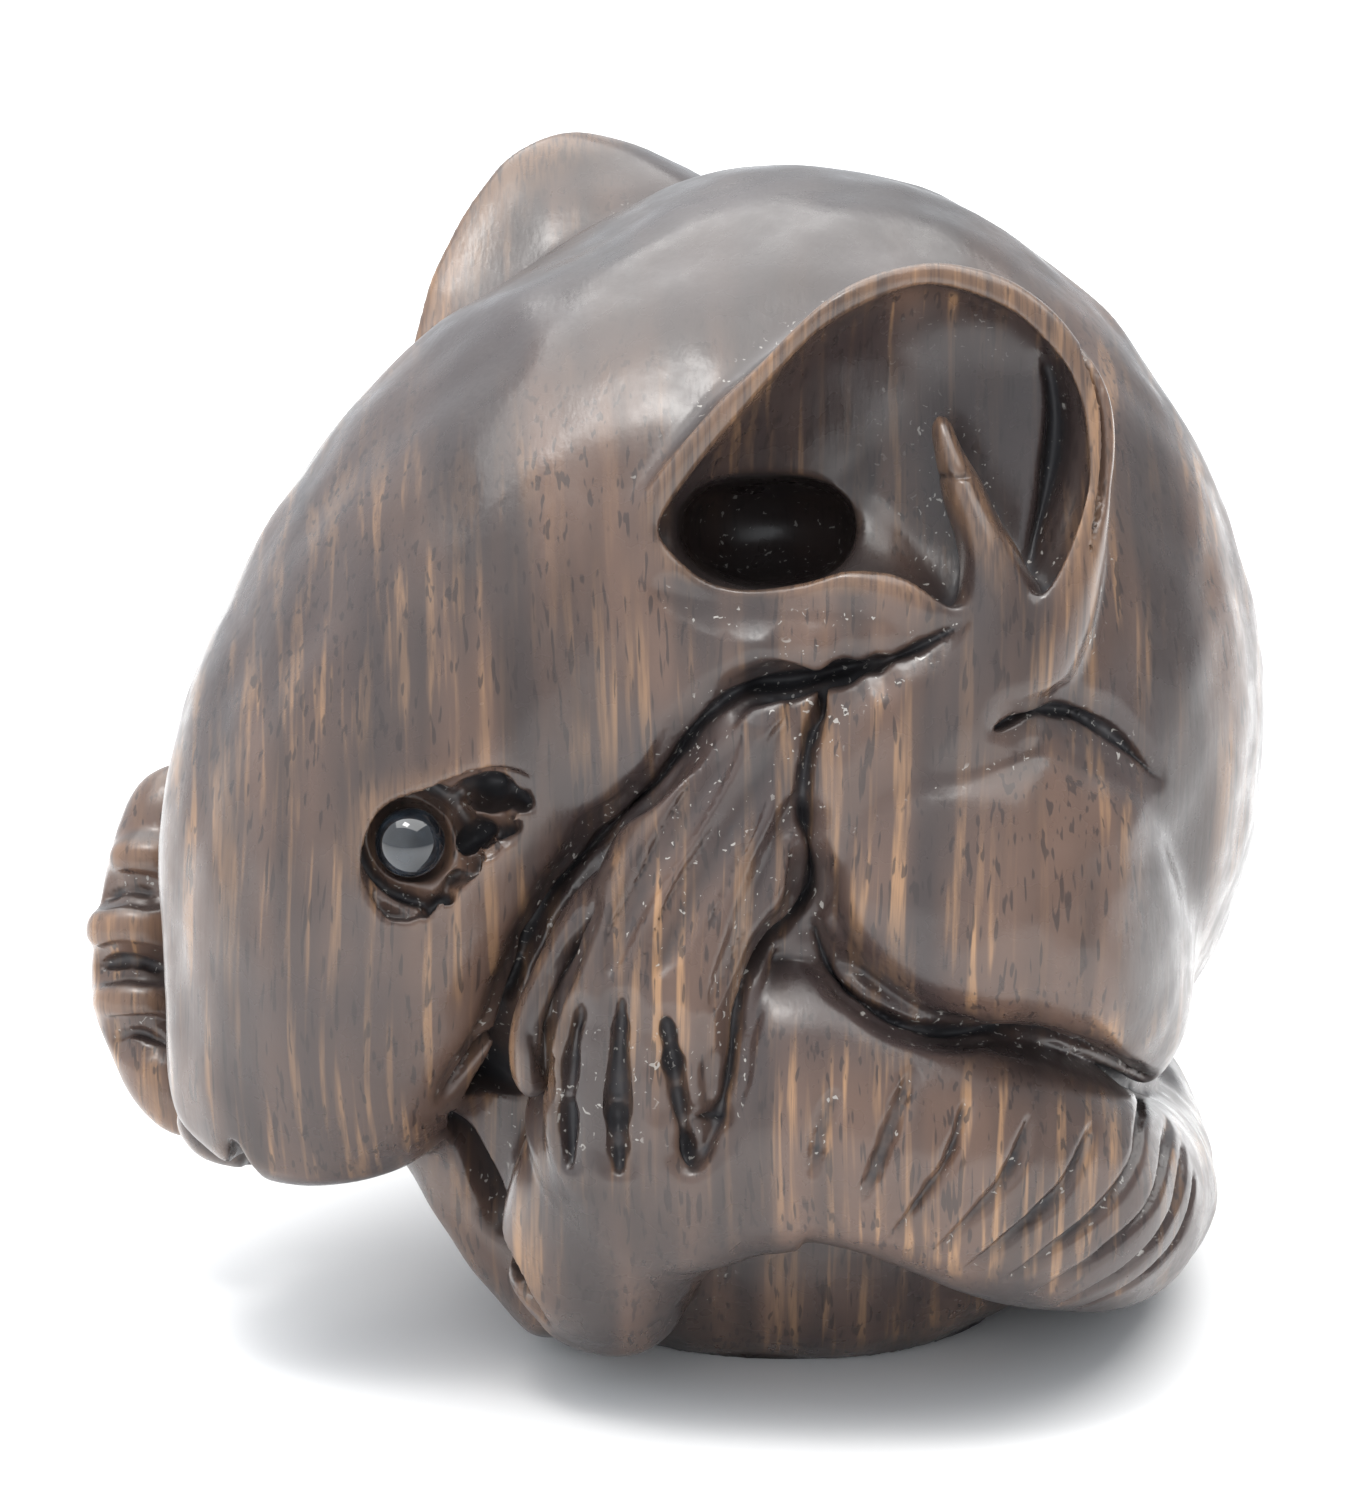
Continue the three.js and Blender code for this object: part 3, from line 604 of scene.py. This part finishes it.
# deep hollows beside the chin and over the foot, and the mouth as a limb cut away
hollows = {
    "besideChin": {"places": [[-5.0, -7.9, 0.25, 1], [-5.5, -9.5, 0.55, 1.8],
                              [-5.9, -10.7, 1, 2.4], [-6.2, -11.6, 1.2, 2.2]],
                   "rows": 80, "soften": 30, "number": 7, "ends": (0.3, 0.1), "k": 0.2},
    "foot": {"places": [[-7.5, -12.2, 0.3, 1.2], [-6.7, -14.2, 0.7, 1.8], [-5.9, -16.2, 0.75, 1.8],
                        [-5, -18, 0.5, 1.2], [-4.3, -19.3, 0.25, 0.8]],
             "rows": 70, "soften": 40, "number": 5, "ends": (0.3, 0.4), "k": 0.25,
             "ragged": 0.1, "dirt": 0.6},
    "mouth": [[-14.2, -15.2, 2.5, 0.5, 1], [-14.4, -14.2, 6.5, 0.45, 1],
              [-14.7, -13.2, 8.6, 0.25, 0.6]],
}

# grooves of the paw and hairs of the arm: places, half width, depth
paw = {
    "grooves": [
        ([[-1.7, -8.0], [-1.8, -10], [-1.85, -12], [-1.8, -13.8]], 0.38, 0.9),
        ([[-0.3, -8.6], [0, -10.2], [0.3, -12.0], [0.6, -13.6]], 0.33, 0.8),
        ([[-3.0, -8.2], [-3.35, -9.8], [-3.5, -11.6], [-3.45, -13.7]], 0.3, 0.75),
        ([[-2.5, -4.9], [-3.3, -6.6], [-4.0, -8.4], [-4.25, -10], [-4.2, -11.5]], 0.24, 0.7)],
    "nail": ([[0.5, -12.0], [1.1, -11.9], [1.7, -11.95]], 0.14, 0.3),
    "facets": [
        ([[3.6, 0.9], [2.4, -1.6], [0.6, -4.6], [-0.6, -7.4]], 0.75, 0.42),
        ([[2.2, 0.6], [0.4, -2], [-1.2, -4.6], [-2.2, -7.4]], 0.7, 0.4),
        ([[4.0, -1.2], [3.1, -3.6], [2.2, -5.8], [1.2, -8.4]], 0.6, 0.36),
        ([[0.9, -8.6], [1.1, -10.4], [1.3, -12]], 0.5, 0.25)],
    "hairs": [
        ([[1.4, -2.4], [0.5, -3.8], [-0.4, -5.4], [-1.1, -6.9]], 0.11, 0.2),
        ([[2.2, -3.3], [1.5, -4.9], [0.7, -6.5]], 0.1, 0.18),
        ([[-0.2, -2.4], [-1.1, -4.1], [-1.9, -5.5], [-2.5, -6.9]], 0.11, 0.2),
        ([[3.2, -0.8], [2.6, -2.4], [1.9, -3.9], [1.3, -5]], 0.1, 0.16),
        ([[0.9, -0.4], [0, -2], [-0.9, -3.5]], 0.1, 0.16),
        ([[2.6, -5], [2, -6.4], [1.5, -7.8]], 0.09, 0.15)],
    "farCreases": [
        ([[-20.1, -5.2], [-19.2, -4.9], [-18, -5.1]], 0.22, 0.3),
        ([[-20.3, -7.6], [-19.2, -7.4], [-17.8, -7.7]], 0.26, 0.4),
        ([[-19.8, -10.2], [-18.9, -9.9], [-17.6, -10.4]], 0.26, 0.36)],
}

tailRings = {
    "lines": [[[9.5, -11.3], [8.9, -13.2], [8, -14.6], [7.1, -16.0]],
              [[11.6, -11.9], [11, -13.6], [9.7, -15.2], [8.5, -16.4]],
              [[13.7, -12.3], [12.7, -14.4], [11.1, -15.9], [9.6, -17.1]],
              [[15.7, -11.7], [15.3, -13.4], [14.1, -15.1], [12.5, -16.4], [10.9, -17.5]],
              [[16.8, -12.6], [16, -14.8], [14.2, -16.6], [12, -18]],
              [[17.3, -13.4], [16.8, -15.4], [15.2, -17.2], [12.8, -18.5]],
              [[17.7, -14.4], [17.2, -16.4], [15.7, -17.8], [13.6, -18.9]],
              [[7.7, -10.4], [6.9, -12.6], [6.1, -14.7]],
              [[5.2, -11], [4.7, -12.6], [4.4, -13.8]]],
    "half": [0.28, 0.28, 0.26, 0.26, 0.24, 0.22, 0.22, 0.3, 0.3],
    "depth": [0.42, 0.42, 0.42, 0.42, 0.4, 0.36, 0.34, 0.36, 0.32],
}


def carveCreases(wood):
    creased(wood, **creases["underEar"])
    scored(wood, **hollows["besideChin"])
    wood.cut(limb(hollows["mouth"], ends=(0.05, 0.3)), 0.35)
    for name in ("cheek", "armRight", "haunchTail", "haunchTop"):
        creased(wood, **creases[name])
    scored(wood, **hollows["foot"])


def carvePaw(wood):
    carveRow(wood, paw["facets"], 25, rows=60, ends=(0.4, 0.4), k=0.1, dirt=0.6)
    carveRow(wood, paw["grooves"], 10, creased, rows=70, ends=(0.35, 0.2), dirt=0.7)
    carveRow(wood, paw["hairs"], 20, rows=50, ragged=0.3, ends=(0.6, 0.6), k=0.04, dirt=0.3)
    carveRow(wood, [paw["nail"]] + paw["farCreases"], 60, creased, rows=30, soften=3, dirt=0.5)


def carveRings(wood):
    rings = zip(tailRings["lines"], tailRings["half"], tailRings["depth"])
    carveRow(wood, rings, 30, rows=60, ragged=0.2, ends=(0.3, 0.4), k=0.25)


# ---- carving it

wood = Block(block["low"], block["high"], block["cube"], block["reach"])
roughOut(wood)
print("masses done")
addLimbs(wood)
addEar(wood, nearSide)
addEar(wood, farEar)
cutSocket(wood, nearSide, "left_eye")
cutSocket(wood, farEye, "right_eye")
carveCreases(wood)
carvePaw(wood)
carveRings(wood)
print("carving done")

groundCut = limb([[0, 0, -8, 40], [0, 0, -4, 40], [0, 0, 0, 40]], ends=(1e-6, 1e-6),
                 facing=np.array([0, 1.0, 0]), placed=True)
wood.cut(groundCut)


# ---- the mesh of the carving

finish = {
    "mostTriangles": 190000,
    "longestStep": 0.1,
    "leastSteepness": 0.25,
    "underside": 0.02,  # lower points stay flat
    "waves": 30,  # shallow unevenness left by hand finishing
    "waveLength": [2.0, 7.0],
    "waveSlope": 0.019,
    "fineReach": 0.45,  # how far round a point each attribute looks
    "broadReach": 1.2,
    "valleyReach": 3.0,
    "valleyLimit": 2.4,
    "grimeReach": 0.3,
}


# hand-finished unevenness: a sum of sine waves in random directions, height and slope
def unevenness(points):
    rng = np.random.default_rng(seed)
    total = np.zeros(len(points))
    slope = np.zeros((len(points), 3))
    shortest, longest = finish["waveLength"]
    for k in range(finish["waves"]):
        direction = unit(rng.normal(size=3))
        count = 2 * np.pi / (shortest * (longest / shortest) ** rng.uniform())
        phase = points @ direction * count + rng.uniform(0, 2 * np.pi)
        total += finish["waveSlope"] / count * np.sin(phase)
        slope += (finish["waveSlope"] * np.cos(phase))[:, None] * direction
    return total, slope


# running mean over 2 * reach + 1 cells along each axis, by differences of a running sum
def blurred(values, reach):
    for axis in range(3):
        padded = np.concatenate([np.repeat(np.take(values, [0], axis), reach + 1, axis), values,
                                 np.repeat(np.take(values, [-1], axis), reach, axis)], axis)
        running = np.cumsum(padded, axis=axis, dtype=np.float64)
        count = values.shape[axis]
        upper = np.take(running, range(2 * reach + 1, 2 * reach + 1 + count), axis)
        lower = np.take(running, range(0, count), axis)
        values = ((upper - lower) / (2 * reach + 1)).astype(np.float32)
    return values


# values averaged over a cube round each point, from every second cell
def averaged(wood, values, points, reach):
    cube = 2 * wood.cube
    soft = blurred(values[::2, ::2, ::2], max(1, round(reach / cube)))
    return wood.sample(points, soft, cube, wood.low / 2)


# how hollow the surface is at points: minus the field averaged round each
def hollowness(wood, points, reach, limit=1.0):
    return -averaged(wood, np.clip(wood.field, -limit, limit), points, reach)


def meshFrom(name, points, faces):
    mesh = bpy.data.meshes.new(name)
    mesh.vertices.add(len(points))
    mesh.vertices.foreach_set("co", np.ascontiguousarray(points, dtype=np.float32).ravel())
    corners = np.concatenate([f.ravel() for f in faces]).astype(np.int32)
    mesh.loops.add(len(corners))
    mesh.loops.foreach_set("vertex_index", corners)
    starts = []
    begin = 0
    for f in faces:
        starts.append(begin + np.arange(len(f)) * f.shape[1])
        begin += f.size
    starts = np.concatenate(starts).astype(np.int32)
    mesh.polygons.add(len(starts))
    mesh.polygons.foreach_set("loop_start", starts)
    mesh.update(calc_edges=True)
    mesh.polygons.foreach_set("use_smooth", np.ones(len(starts), bool))
    return mesh


def piece(name, mesh):
    made = bpy.data.objects.new(name, mesh)
    bpy.context.scene.collection.objects.link(made)
    return made


def floats(mesh, name, values):
    mesh.attributes.new(name, "FLOAT", "POINT").data.foreach_set("value", values.astype(np.float32))


# the polygons of the field, thinned to the wanted number
def thinned(wood):
    points, triangles, quads = wood.polygons()
    faces = [f for f in (quads, triangles) if len(f)]
    dense = piece("dense", meshFrom("dense", points, faces))
    count = sum(len(f) * (f.shape[1] - 2) for f in faces)
    thinner = dense.modifiers.new("thinner", "DECIMATE")
    thinner.ratio = min(1.0, finish["mostTriangles"] / count)
    view = bpy.context.evaluated_depsgraph_get()
    thin = bpy.data.meshes.new_from_object(dense.evaluated_get(view))
    bpy.data.objects.remove(dense)
    return thin


# the outer skin stays; bubbles shut in the wood, and what thinning leaves of them, go
def dropBubbles(mesh):
    ends = np.zeros(len(mesh.edges) * 2, np.int32)
    mesh.edges.foreach_get("vertices", ends)
    one, other = ends.reshape(-1, 2).T
    part, before = np.arange(len(mesh.vertices)), None
    while before is None or (part != before).any():
        before = part.copy()
        least = np.minimum(part[one], part[other])
        np.minimum.at(part, one, least)
        np.minimum.at(part, other, least)
        part = part[part]
    bubbles = np.flatnonzero(part != np.bincount(part).argmax())
    shape = bmesh.new()
    shape.from_mesh(mesh)
    shape.verts.ensure_lookup_table()
    bmesh.ops.delete(shape, geom=[shape.verts[i] for i in bubbles], context="VERTS")
    shape.to_mesh(mesh)
    shape.free()


# points moved onto the surface in two steps, each the field times its slope over the square
# of that slope
def drawnBack(wood, points):
    longest = finish["longestStep"]
    for turn in range(2):
        slope = wood.slope(points)
        steep = np.maximum((slope ** 2).sum(1), finish["leastSteepness"])
        step = np.clip(wood.sample(points) / steep, -longest, longest)
        points = points - step[:, None] * slope
    return points


# what the wood's colours follow
def markSurface(mesh, wood, points, slope):
    floats(mesh, "fineHollow", hollowness(wood, points, finish["fineReach"]))
    floats(mesh, "broadHollow", hollowness(wood, points, finish["broadReach"]))
    valley = hollowness(wood, points, finish["valleyReach"], finish["valleyLimit"])
    floats(mesh, "valley", valley)
    floats(mesh, "grime", averaged(wood, wood.grime, points, finish["grimeReach"]))
    floats(mesh, "sideways", 1 - slope[:, 2] ** 2)


# the carving: the thinned skin drawn back onto the surface, marked, then made uneven
def carvedMesh(wood):
    thin = thinned(wood)
    dropBubbles(thin)
    co = np.zeros(len(thin.vertices) * 3, np.float32)
    thin.vertices.foreach_get("co", co)
    co = drawnBack(wood, co.reshape(-1, 3).astype(float))
    slope = unit(wood.slope(co))
    height, lean = unevenness(co)
    onFlat = co[:, 2] < finish["underside"]
    height[onFlat] = 0
    lean[onFlat] = 0
    normals = unit(slope - lean + (lean * slope).sum(1, keepdims=True) * slope)
    moved = co + height[:, None] * slope
    moved[:, 2] = np.maximum(moved[:, 2], 0)
    thin.vertices.foreach_set("co", (moved * millimetre).astype(np.float32).ravel())
    markSurface(thin, wood, co, slope)
    thin.polygons.foreach_set("use_smooth", np.ones(len(thin.polygons), bool))
    thin.update()
    thin.normals_split_custom_set_from_vertices(normals)
    return thin


carving = piece("netsuke_carving", carvedMesh(wood))
print("carving meshed:", len(carving.data.polygons), "triangles")


# ---- beads

# polished bead: a ball on rings of latitude, closed by a point at each pole
def beadMesh(name, centre, radius, rows=33, cols=48):
    v = np.linspace(0, np.pi, rows)[1:-1, None]
    u = np.linspace(0, 2 * np.pi, cols, endpoint=False)[None, :]
    ball = np.stack([np.sin(v) * np.cos(u), np.sin(v) * np.sin(u), np.cos(v) + 0 * u], -1)
    ball = np.vstack([ball.reshape(-1, 3), [[0, 0, 1.0], [0, 0, -1.0]]])
    north, south = len(ball) - 2, len(ball) - 1
    first = np.arange(cols)
    after = (first + 1) % cols
    last = (rows - 3) * cols
    top = np.stack([first, after, np.full(cols, north)], -1)
    bottom = np.stack([last + first, last + after, np.full(cols, south)], -1)
    faces = [gridQuads(rows - 2, cols)[:, ::-1], top, bottom[:, ::-1]]
    return meshFrom(name, (centre + radius * ball) * millimetre, faces)


leftBead = piece("netsuke_left_eye", beadMesh("netsuke_left_eye", *beads["left_eye"]))
rightBead = piece("netsuke_right_eye", beadMesh("netsuke_right_eye", *beads["right_eye"]))


# ---- materials

class Graph:
    def __init__(self, name):
        self.material = bpy.data.materials.new(name)
        self.material.use_nodes = True
        self.tree = self.material.node_tree
        self.shader = self.tree.nodes["Principled BSDF"]

    # one node; inputs are numbers, colours or the sockets of other nodes
    def add(self, kind, settings=None, inputs=None):
        node = self.tree.nodes.new("ShaderNode" + kind)
        for name, value in (settings or {}).items():
            setattr(node, name, value)
        self.feed(node, inputs or {})
        return node

    def feed(self, node, inputs):
        for name, value in inputs.items():
            if isinstance(value, bpy.types.NodeSocket):
                self.tree.links.new(value, node.inputs[name])
            else:
                node.inputs[name].default_value = value

    def noise(self, vector, scale, detail=2.0, roughness=0.5, distortion=0.0):
        node = self.add("TexNoise", {}, {"Vector": vector, "Scale": scale, "Detail": detail,
                                         "Roughness": roughness, "Distortion": distortion})
        return node.outputs["Fac"]

    # noise drawn out along the grain
    def drawnOut(self, vector, stretch, scale, detail, roughness):
        longer = self.add("Mapping", {}, {"Vector": vector, "Scale": stretch})
        return self.noise(longer.outputs["Vector"], scale, detail, roughness)

    def attribute(self, name):
        return self.add("Attribute", {"attribute_name": name}).outputs["Fac"]

    # smooth step of a value between two edges, onto a range
    def step(self, value, low, high, start=0.0, end=1.0):
        node = self.add("MapRange", {"interpolation_type": "SMOOTHSTEP"},
                        {"Value": value, "From Min": low, "From Max": high, "To Min": start,
                         "To Max": end})
        return node.outputs["Result"]

    def math(self, operation, a, b=0.0):
        node = self.add("Math", {"operation": operation}, {0: a, 1: b})
        return node.outputs["Value"]

    def mix(self, factor, a, b):
        node = self.add("Mix", {"data_type": "RGBA"}, {0: factor, 6: a, 7: b})
        return node.outputs[2]


woodFinish = {
    "dark": (0.042, 0.031, 0.029, 1),
    "plain": (0.118, 0.072, 0.054, 1),
    "tan": (0.35, 0.20, 0.105, 1),
    "edge": (0.24, 0.14, 0.083, 1),
    # end grain on upward faces, made darker still as painted shade that holds back the overhead
    # light
    "endGrainTopShade": (0.034, 0.027, 0.026, 1),
    # random dark patches of the wood's own, also laid into broad hollows as painted shade
    "patchAndHollowShade": (0.040, 0.029, 0.029, 1),
    "stain": (0.030, 0.022, 0.021, 1),
    "dirt": (0.026, 0.027, 0.032, 1),
    "dust": (0.42, 0.40, 0.37, 1),
    "coat": 0.15,
    "coatRoughness": 0.18,
    "specular": 0.5,
    "reliefStrength": 0.3,
    "reliefHeight": 0.00005,
}

# patterns: the stretch along the grain where there is one, then scale, detail and roughness
grain = {
    "bend": (0.0016, 0.0016, 0.0),  # how far the grain wanders, in metres
    "drift": 60.0,
    "bands": ((1.0, 0.2, 0.1), 420.0, 2.0, 0.5),
    "streaks": ((1.0, 0.1, 0.045), 2300.0, 2.0, 0.55),
    "threads": ((1.0, 0.15, 0.04), 7600.0, 2.0, 0.6),
    "dashes": ((1.0, 0.5, 0.10), 5200.0, 1.0, 0.5),
    "patches": (95.0, 2.0, 0.5),
    "crumbs": (2600.0, 3.0, 0.65),
    "blotches": (420.0, 3.0, 0.6),
    "specks": (4300.0, 1.0, 0.5, 0.8),
    "polish": (600.0, 3.0, 0.6),
}

# where a pattern turns into a mark: from, to and the share at each
marks = {
    "alongGrain": (0.30, 0.72),
    "plain": (0.34, 0.66),
    "tanStreaks": (0.50, 0.64),
    "tanBands": (0.36, 0.58, 0.2, 1.0),
    "tanPatches": (0.40, 0.57, 0.1, 1.0),
    "tanThreads": (0.32, 0.60, 0.35, 1.0),
    "endGrainTopShade": (0.62, 0.12, 0.0, 0.85),
    "patchAndHollowShade": (0.68, 1.05, 0.0, 0.75),
    "pores": (0.60, 0.67),
    "poresAlong": (0.2, 0.6, 0.25, 0.7),
    "worn": (-0.16, -0.38),
    "wornThreads": (0.3, 0.6, 0.1, 0.45),
    "clean": (0.10, 0.0),
    "stained": (0.34, 0.95, 0.0, 0.75),
    "dirty": (0.75, 1.25),
    "dirtyHollow": (0.0, 0.12),
    "specks": (0.685, 0.72),
    "dustyHollow": (0.015, 0.07),
    "dustyGrime": (0.06, 0.2),
    "polish": (0.3, 0.7, 0.22, 0.38),
}


# place with a slow wander, for everything that runs along the grain
def grainPlace(g, spot):
    drift = g.add("TexNoise", {}, {"Vector": spot, "Scale": grain["drift"], "Detail": 1.0})
    bent = g.add("VectorMath", {"operation": "MULTIPLY_ADD"},
                 {0: drift.outputs["Color"], 1: grain["bend"], 2: spot})
    return bent.outputs["Vector"]


# bare wood: dark and plain bands, tan streaks on the sides, end grain on top darkened further
# as painted shade against the overhead light, dark patches partly painted shade in hollows, pores
def bareWood(g, spot, bent, threads, dashes):
    bands = g.drawnOut(bent, *grain["bands"])
    streaks = g.drawnOut(bent, *grain["streaks"])
    patches = g.noise(spot, *grain["patches"])
    sideways = g.attribute("sideways")
    colour = g.mix(g.step(bands, *marks["plain"]), woodFinish["dark"], woodFinish["plain"])
    tan = g.step(streaks, *marks["tanStreaks"])
    tan = g.math("MULTIPLY", tan, g.step(bands, *marks["tanBands"]))
    tan = g.math("MULTIPLY", tan, g.step(patches, *marks["tanPatches"]))
    tan = g.math("MULTIPLY", tan, g.step(threads, *marks["tanThreads"]))
    tan = g.math("MULTIPLY", tan, g.step(sideways, *marks["alongGrain"]))
    colour = g.mix(tan, colour, woodFinish["tan"])
    # painted shade: upward faces take the darker end-grain colour, partly real end grain, partly to
    # offset the overhead light
    colour = g.mix(g.step(sideways, *marks["endGrainTopShade"]), colour, woodFinish["endGrainTopShade"])
    # painted shade: the broad-hollow valley value adds to the random patches, so hollows take the
    # dark patch colour
    valley = g.math("MULTIPLY", g.attribute("valley"), 0.3)
    clouded = g.math("ADD", g.math("MULTIPLY", patches, 1.6), valley)
    colour = g.mix(g.step(clouded, *marks["patchAndHollowShade"]), colour, woodFinish["patchAndHollowShade"])
    pores = g.step(sideways, *marks["poresAlong"])
    pores = g.math("MULTIPLY", g.step(dashes, *marks["pores"]), pores)
    return g.mix(pores, colour, woodFinish["stain"])


def woodMaterial():
    g = Graph("streaky hardwood")
    spot = g.add("TexCoord").outputs["Object"]
    bent = grainPlace(g, spot)
    threads = g.drawnOut(bent, *grain["threads"])
    dashes = g.drawnOut(bent, *grain["dashes"])
    colour = bareWood(g, spot, bent, threads, dashes)
    fine = g.attribute("fineHollow")
    grime = g.attribute("grime")
    worn = g.math("MULTIPLY", g.step(g.attribute("broadHollow"), *marks["worn"]),
                  g.step(threads, *marks["wornThreads"]))
    worn = g.math("MULTIPLY", worn, g.step(grime, *marks["clean"]))
    colour = g.mix(worn, colour, woodFinish["edge"])
    crumbs = g.noise(spot, *grain["crumbs"])
    blotches = g.noise(spot, *grain["blotches"])
    settled = g.math("MAXIMUM", grime, g.math("MULTIPLY", fine, 3.0))
    ragged = g.math("ADD", g.math("MULTIPLY", blotches, 0.5), settled)
    stained = g.step(ragged, *marks["stained"])
    colour = g.mix(stained, colour, woodFinish["stain"])
    uneven = g.math("ADD", g.math("MULTIPLY", crumbs, 0.8), settled)
    deep = g.math("MULTIPLY", g.step(uneven, *marks["dirty"]), g.step(fine, *marks["dirtyHollow"]))
    colour = g.mix(g.math("MULTIPLY", deep, 0.75), colour, woodFinish["dirt"])
    hollow = g.step(fine, *marks["dustyHollow"])
    hollow = g.math("MAXIMUM", hollow, g.step(grime, *marks["dustyGrime"]))
    dusty = g.math("MULTIPLY", g.step(g.noise(spot, *grain["specks"]), *marks["specks"]), hollow)
    colour = g.mix(g.math("MULTIPLY", dusty, 0.7), colour, woodFinish["dust"])
    rough = g.step(g.noise(spot, *grain["polish"]), *marks["polish"])
    rough = g.math("ADD", rough, g.math("MULTIPLY", g.math("ADD", deep, stained), 0.2))
    relief = g.math("ADD", g.math("MULTIPLY", dashes, -0.5), g.math("MULTIPLY", crumbs, 0.45))
    bump = g.add("Bump", {}, {"Height": relief, "Strength": woodFinish["reliefStrength"],
                              "Distance": woodFinish["reliefHeight"]})
    g.feed(g.shader, {"Base Color": colour, "Roughness": rough, "Normal": bump.outputs["Normal"],
                      "Specular IOR Level": woodFinish["specular"],
                      "Coat Weight": woodFinish["coat"],
                      "Coat Roughness": woodFinish["coatRoughness"]})
    return g.material


beadFinish = {
    "cloud": (900.0, 2.0, 0.5),
    "clouded": (0.35, 0.65),
    "black": (0.006, 0.007, 0.009, 1),
    "blue": (0.02, 0.026, 0.034, 1),
    "roughness": 0.06,
    "specular": 0.6,
    "coat": 0.5,
    "coatRoughness": 0.03,
}


def beadMaterial():
    g = Graph("polished black inlay")
    cloud = g.noise(g.add("TexCoord").outputs["Object"], *beadFinish["cloud"])
    colour = g.mix(g.step(cloud, *beadFinish["clouded"]), beadFinish["black"], beadFinish["blue"])
    g.feed(g.shader, {"Base Color": colour, "Roughness": beadFinish["roughness"],
                      "Specular IOR Level": beadFinish["specular"],
                      "Coat Weight": beadFinish["coat"],
                      "Coat Roughness": beadFinish["coatRoughness"]})
    return g.material


carving.data.materials.append(woodMaterial())
inlay = beadMaterial()
leftBead.data.materials.append(inlay)
rightBead.data.materials.append(inlay)
print("materials done")

for made, node, slot in ((carving, "carving", "wood"), (leftBead, "left_eye", "bead"),
                         (rightBead, "right_eye", "bead")):
    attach(made, "root")
    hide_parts(node)


# ---- floor, light and camera

studio = {
    "floorHalf": 3.0,
    "paper": ((0.94, 0.94, 0.945, 1), (0.95, 0.95, 0.95, 1)),
    "paperScale": 30.0,
    "paperRoughness": 0.8,
    "sky": (0.91, 0.955, 1.0, 1),
    "leftStrength": 1.4,
    "rightStrength": 0.6,  # the room is darker on the right
    "fromLeft": -0.7,
    "toRight": 0.9,
    "lamplight": (1.0, 0.985, 0.96),
    "overhead": ((0.02, 0.06, 0.36), (0, 0, 0.02), (0.56, 0.58), 3.1),
    "lamp": ((-0.075, -0.09, 0.365), (0, 0, 0.03), (0.11, 0.08), 0.35),
    "distance": 0.190,
    "lens": 130.3,
    "sensor": 36,
    "clip": (0.005, 20),
}

half = studio["floorHalf"]
floorMesh = bpy.data.meshes.new("floor")
floorMesh.from_pydata([(-half, -half, 0), (half, -half, 0), (half, half, 0), (-half, half, 0)], [],
                      [(0, 1, 2, 3)])
floor = piece("floor", floorMesh)
paper = Graph("pale paper")
mottle = paper.noise(paper.add("TexCoord").outputs["Object"], studio["paperScale"])
paper.feed(paper.shader, {"Base Color": paper.mix(mottle, *studio["paper"]),
                          "Roughness": studio["paperRoughness"]})
floorMesh.materials.append(paper.material)

scene = bpy.context.scene
world = bpy.data.worlds.new("studio")
world.use_nodes = True
sky = world.node_tree
background = sky.nodes["Background"]
background.inputs["Color"].default_value = studio["sky"]
direction = sky.nodes.new("ShaderNodeTexCoord").outputs["Generated"]
rightward = sky.nodes.new("ShaderNodeVectorMath")
rightward.operation = "DOT_PRODUCT"
rightward.inputs[1].default_value = tuple(acrossAxis)
dimming = sky.nodes.new("ShaderNodeMapRange")
dimming.interpolation_type = "SMOOTHSTEP"
dimming.inputs["From Min"].default_value = studio["fromLeft"]
dimming.inputs["From Max"].default_value = studio["toRight"]
dimming.inputs["To Min"].default_value = studio["leftStrength"]
dimming.inputs["To Max"].default_value = studio["rightStrength"]
sky.links.new(direction, rightward.inputs[0])
sky.links.new(rightward.outputs["Value"], dimming.inputs["Value"])
sky.links.new(dimming.outputs["Result"], background.inputs["Strength"])
scene.world = world
scene.view_settings.view_transform = "Standard"


# turned so that its own -Z points from its place to the aim
def aimed(made, place, aim):
    scene.collection.objects.link(made)
    made.location = place
    made.rotation_mode = "QUATERNION"
    made.rotation_quaternion = (Vector(aim) - Vector(place)).to_track_quat("-Z", "Y")


def softbox(name):
    place, aim, size, power = studio[name]
    light = bpy.data.lights.new(name, "AREA")
    light.shape = "RECTANGLE"
    light.size, light.size_y = size
    light.energy = power
    light.color = studio["lamplight"]
    aimed(bpy.data.objects.new(name, light), place, aim)


softbox("overhead")
softbox("lamp")

camera = bpy.data.cameras.new("camera")
camera.sensor_width = studio["sensor"]
camera.lens = studio["lens"]
camera.clip_start, camera.clip_end = studio["clip"]
cameraObject = bpy.data.objects.new("camera", camera)
heart = middle * millimetre
aimed(cameraObject, heart + studio["distance"] * outAxis, heart)
scene.camera = cameraObject

print("stage set")
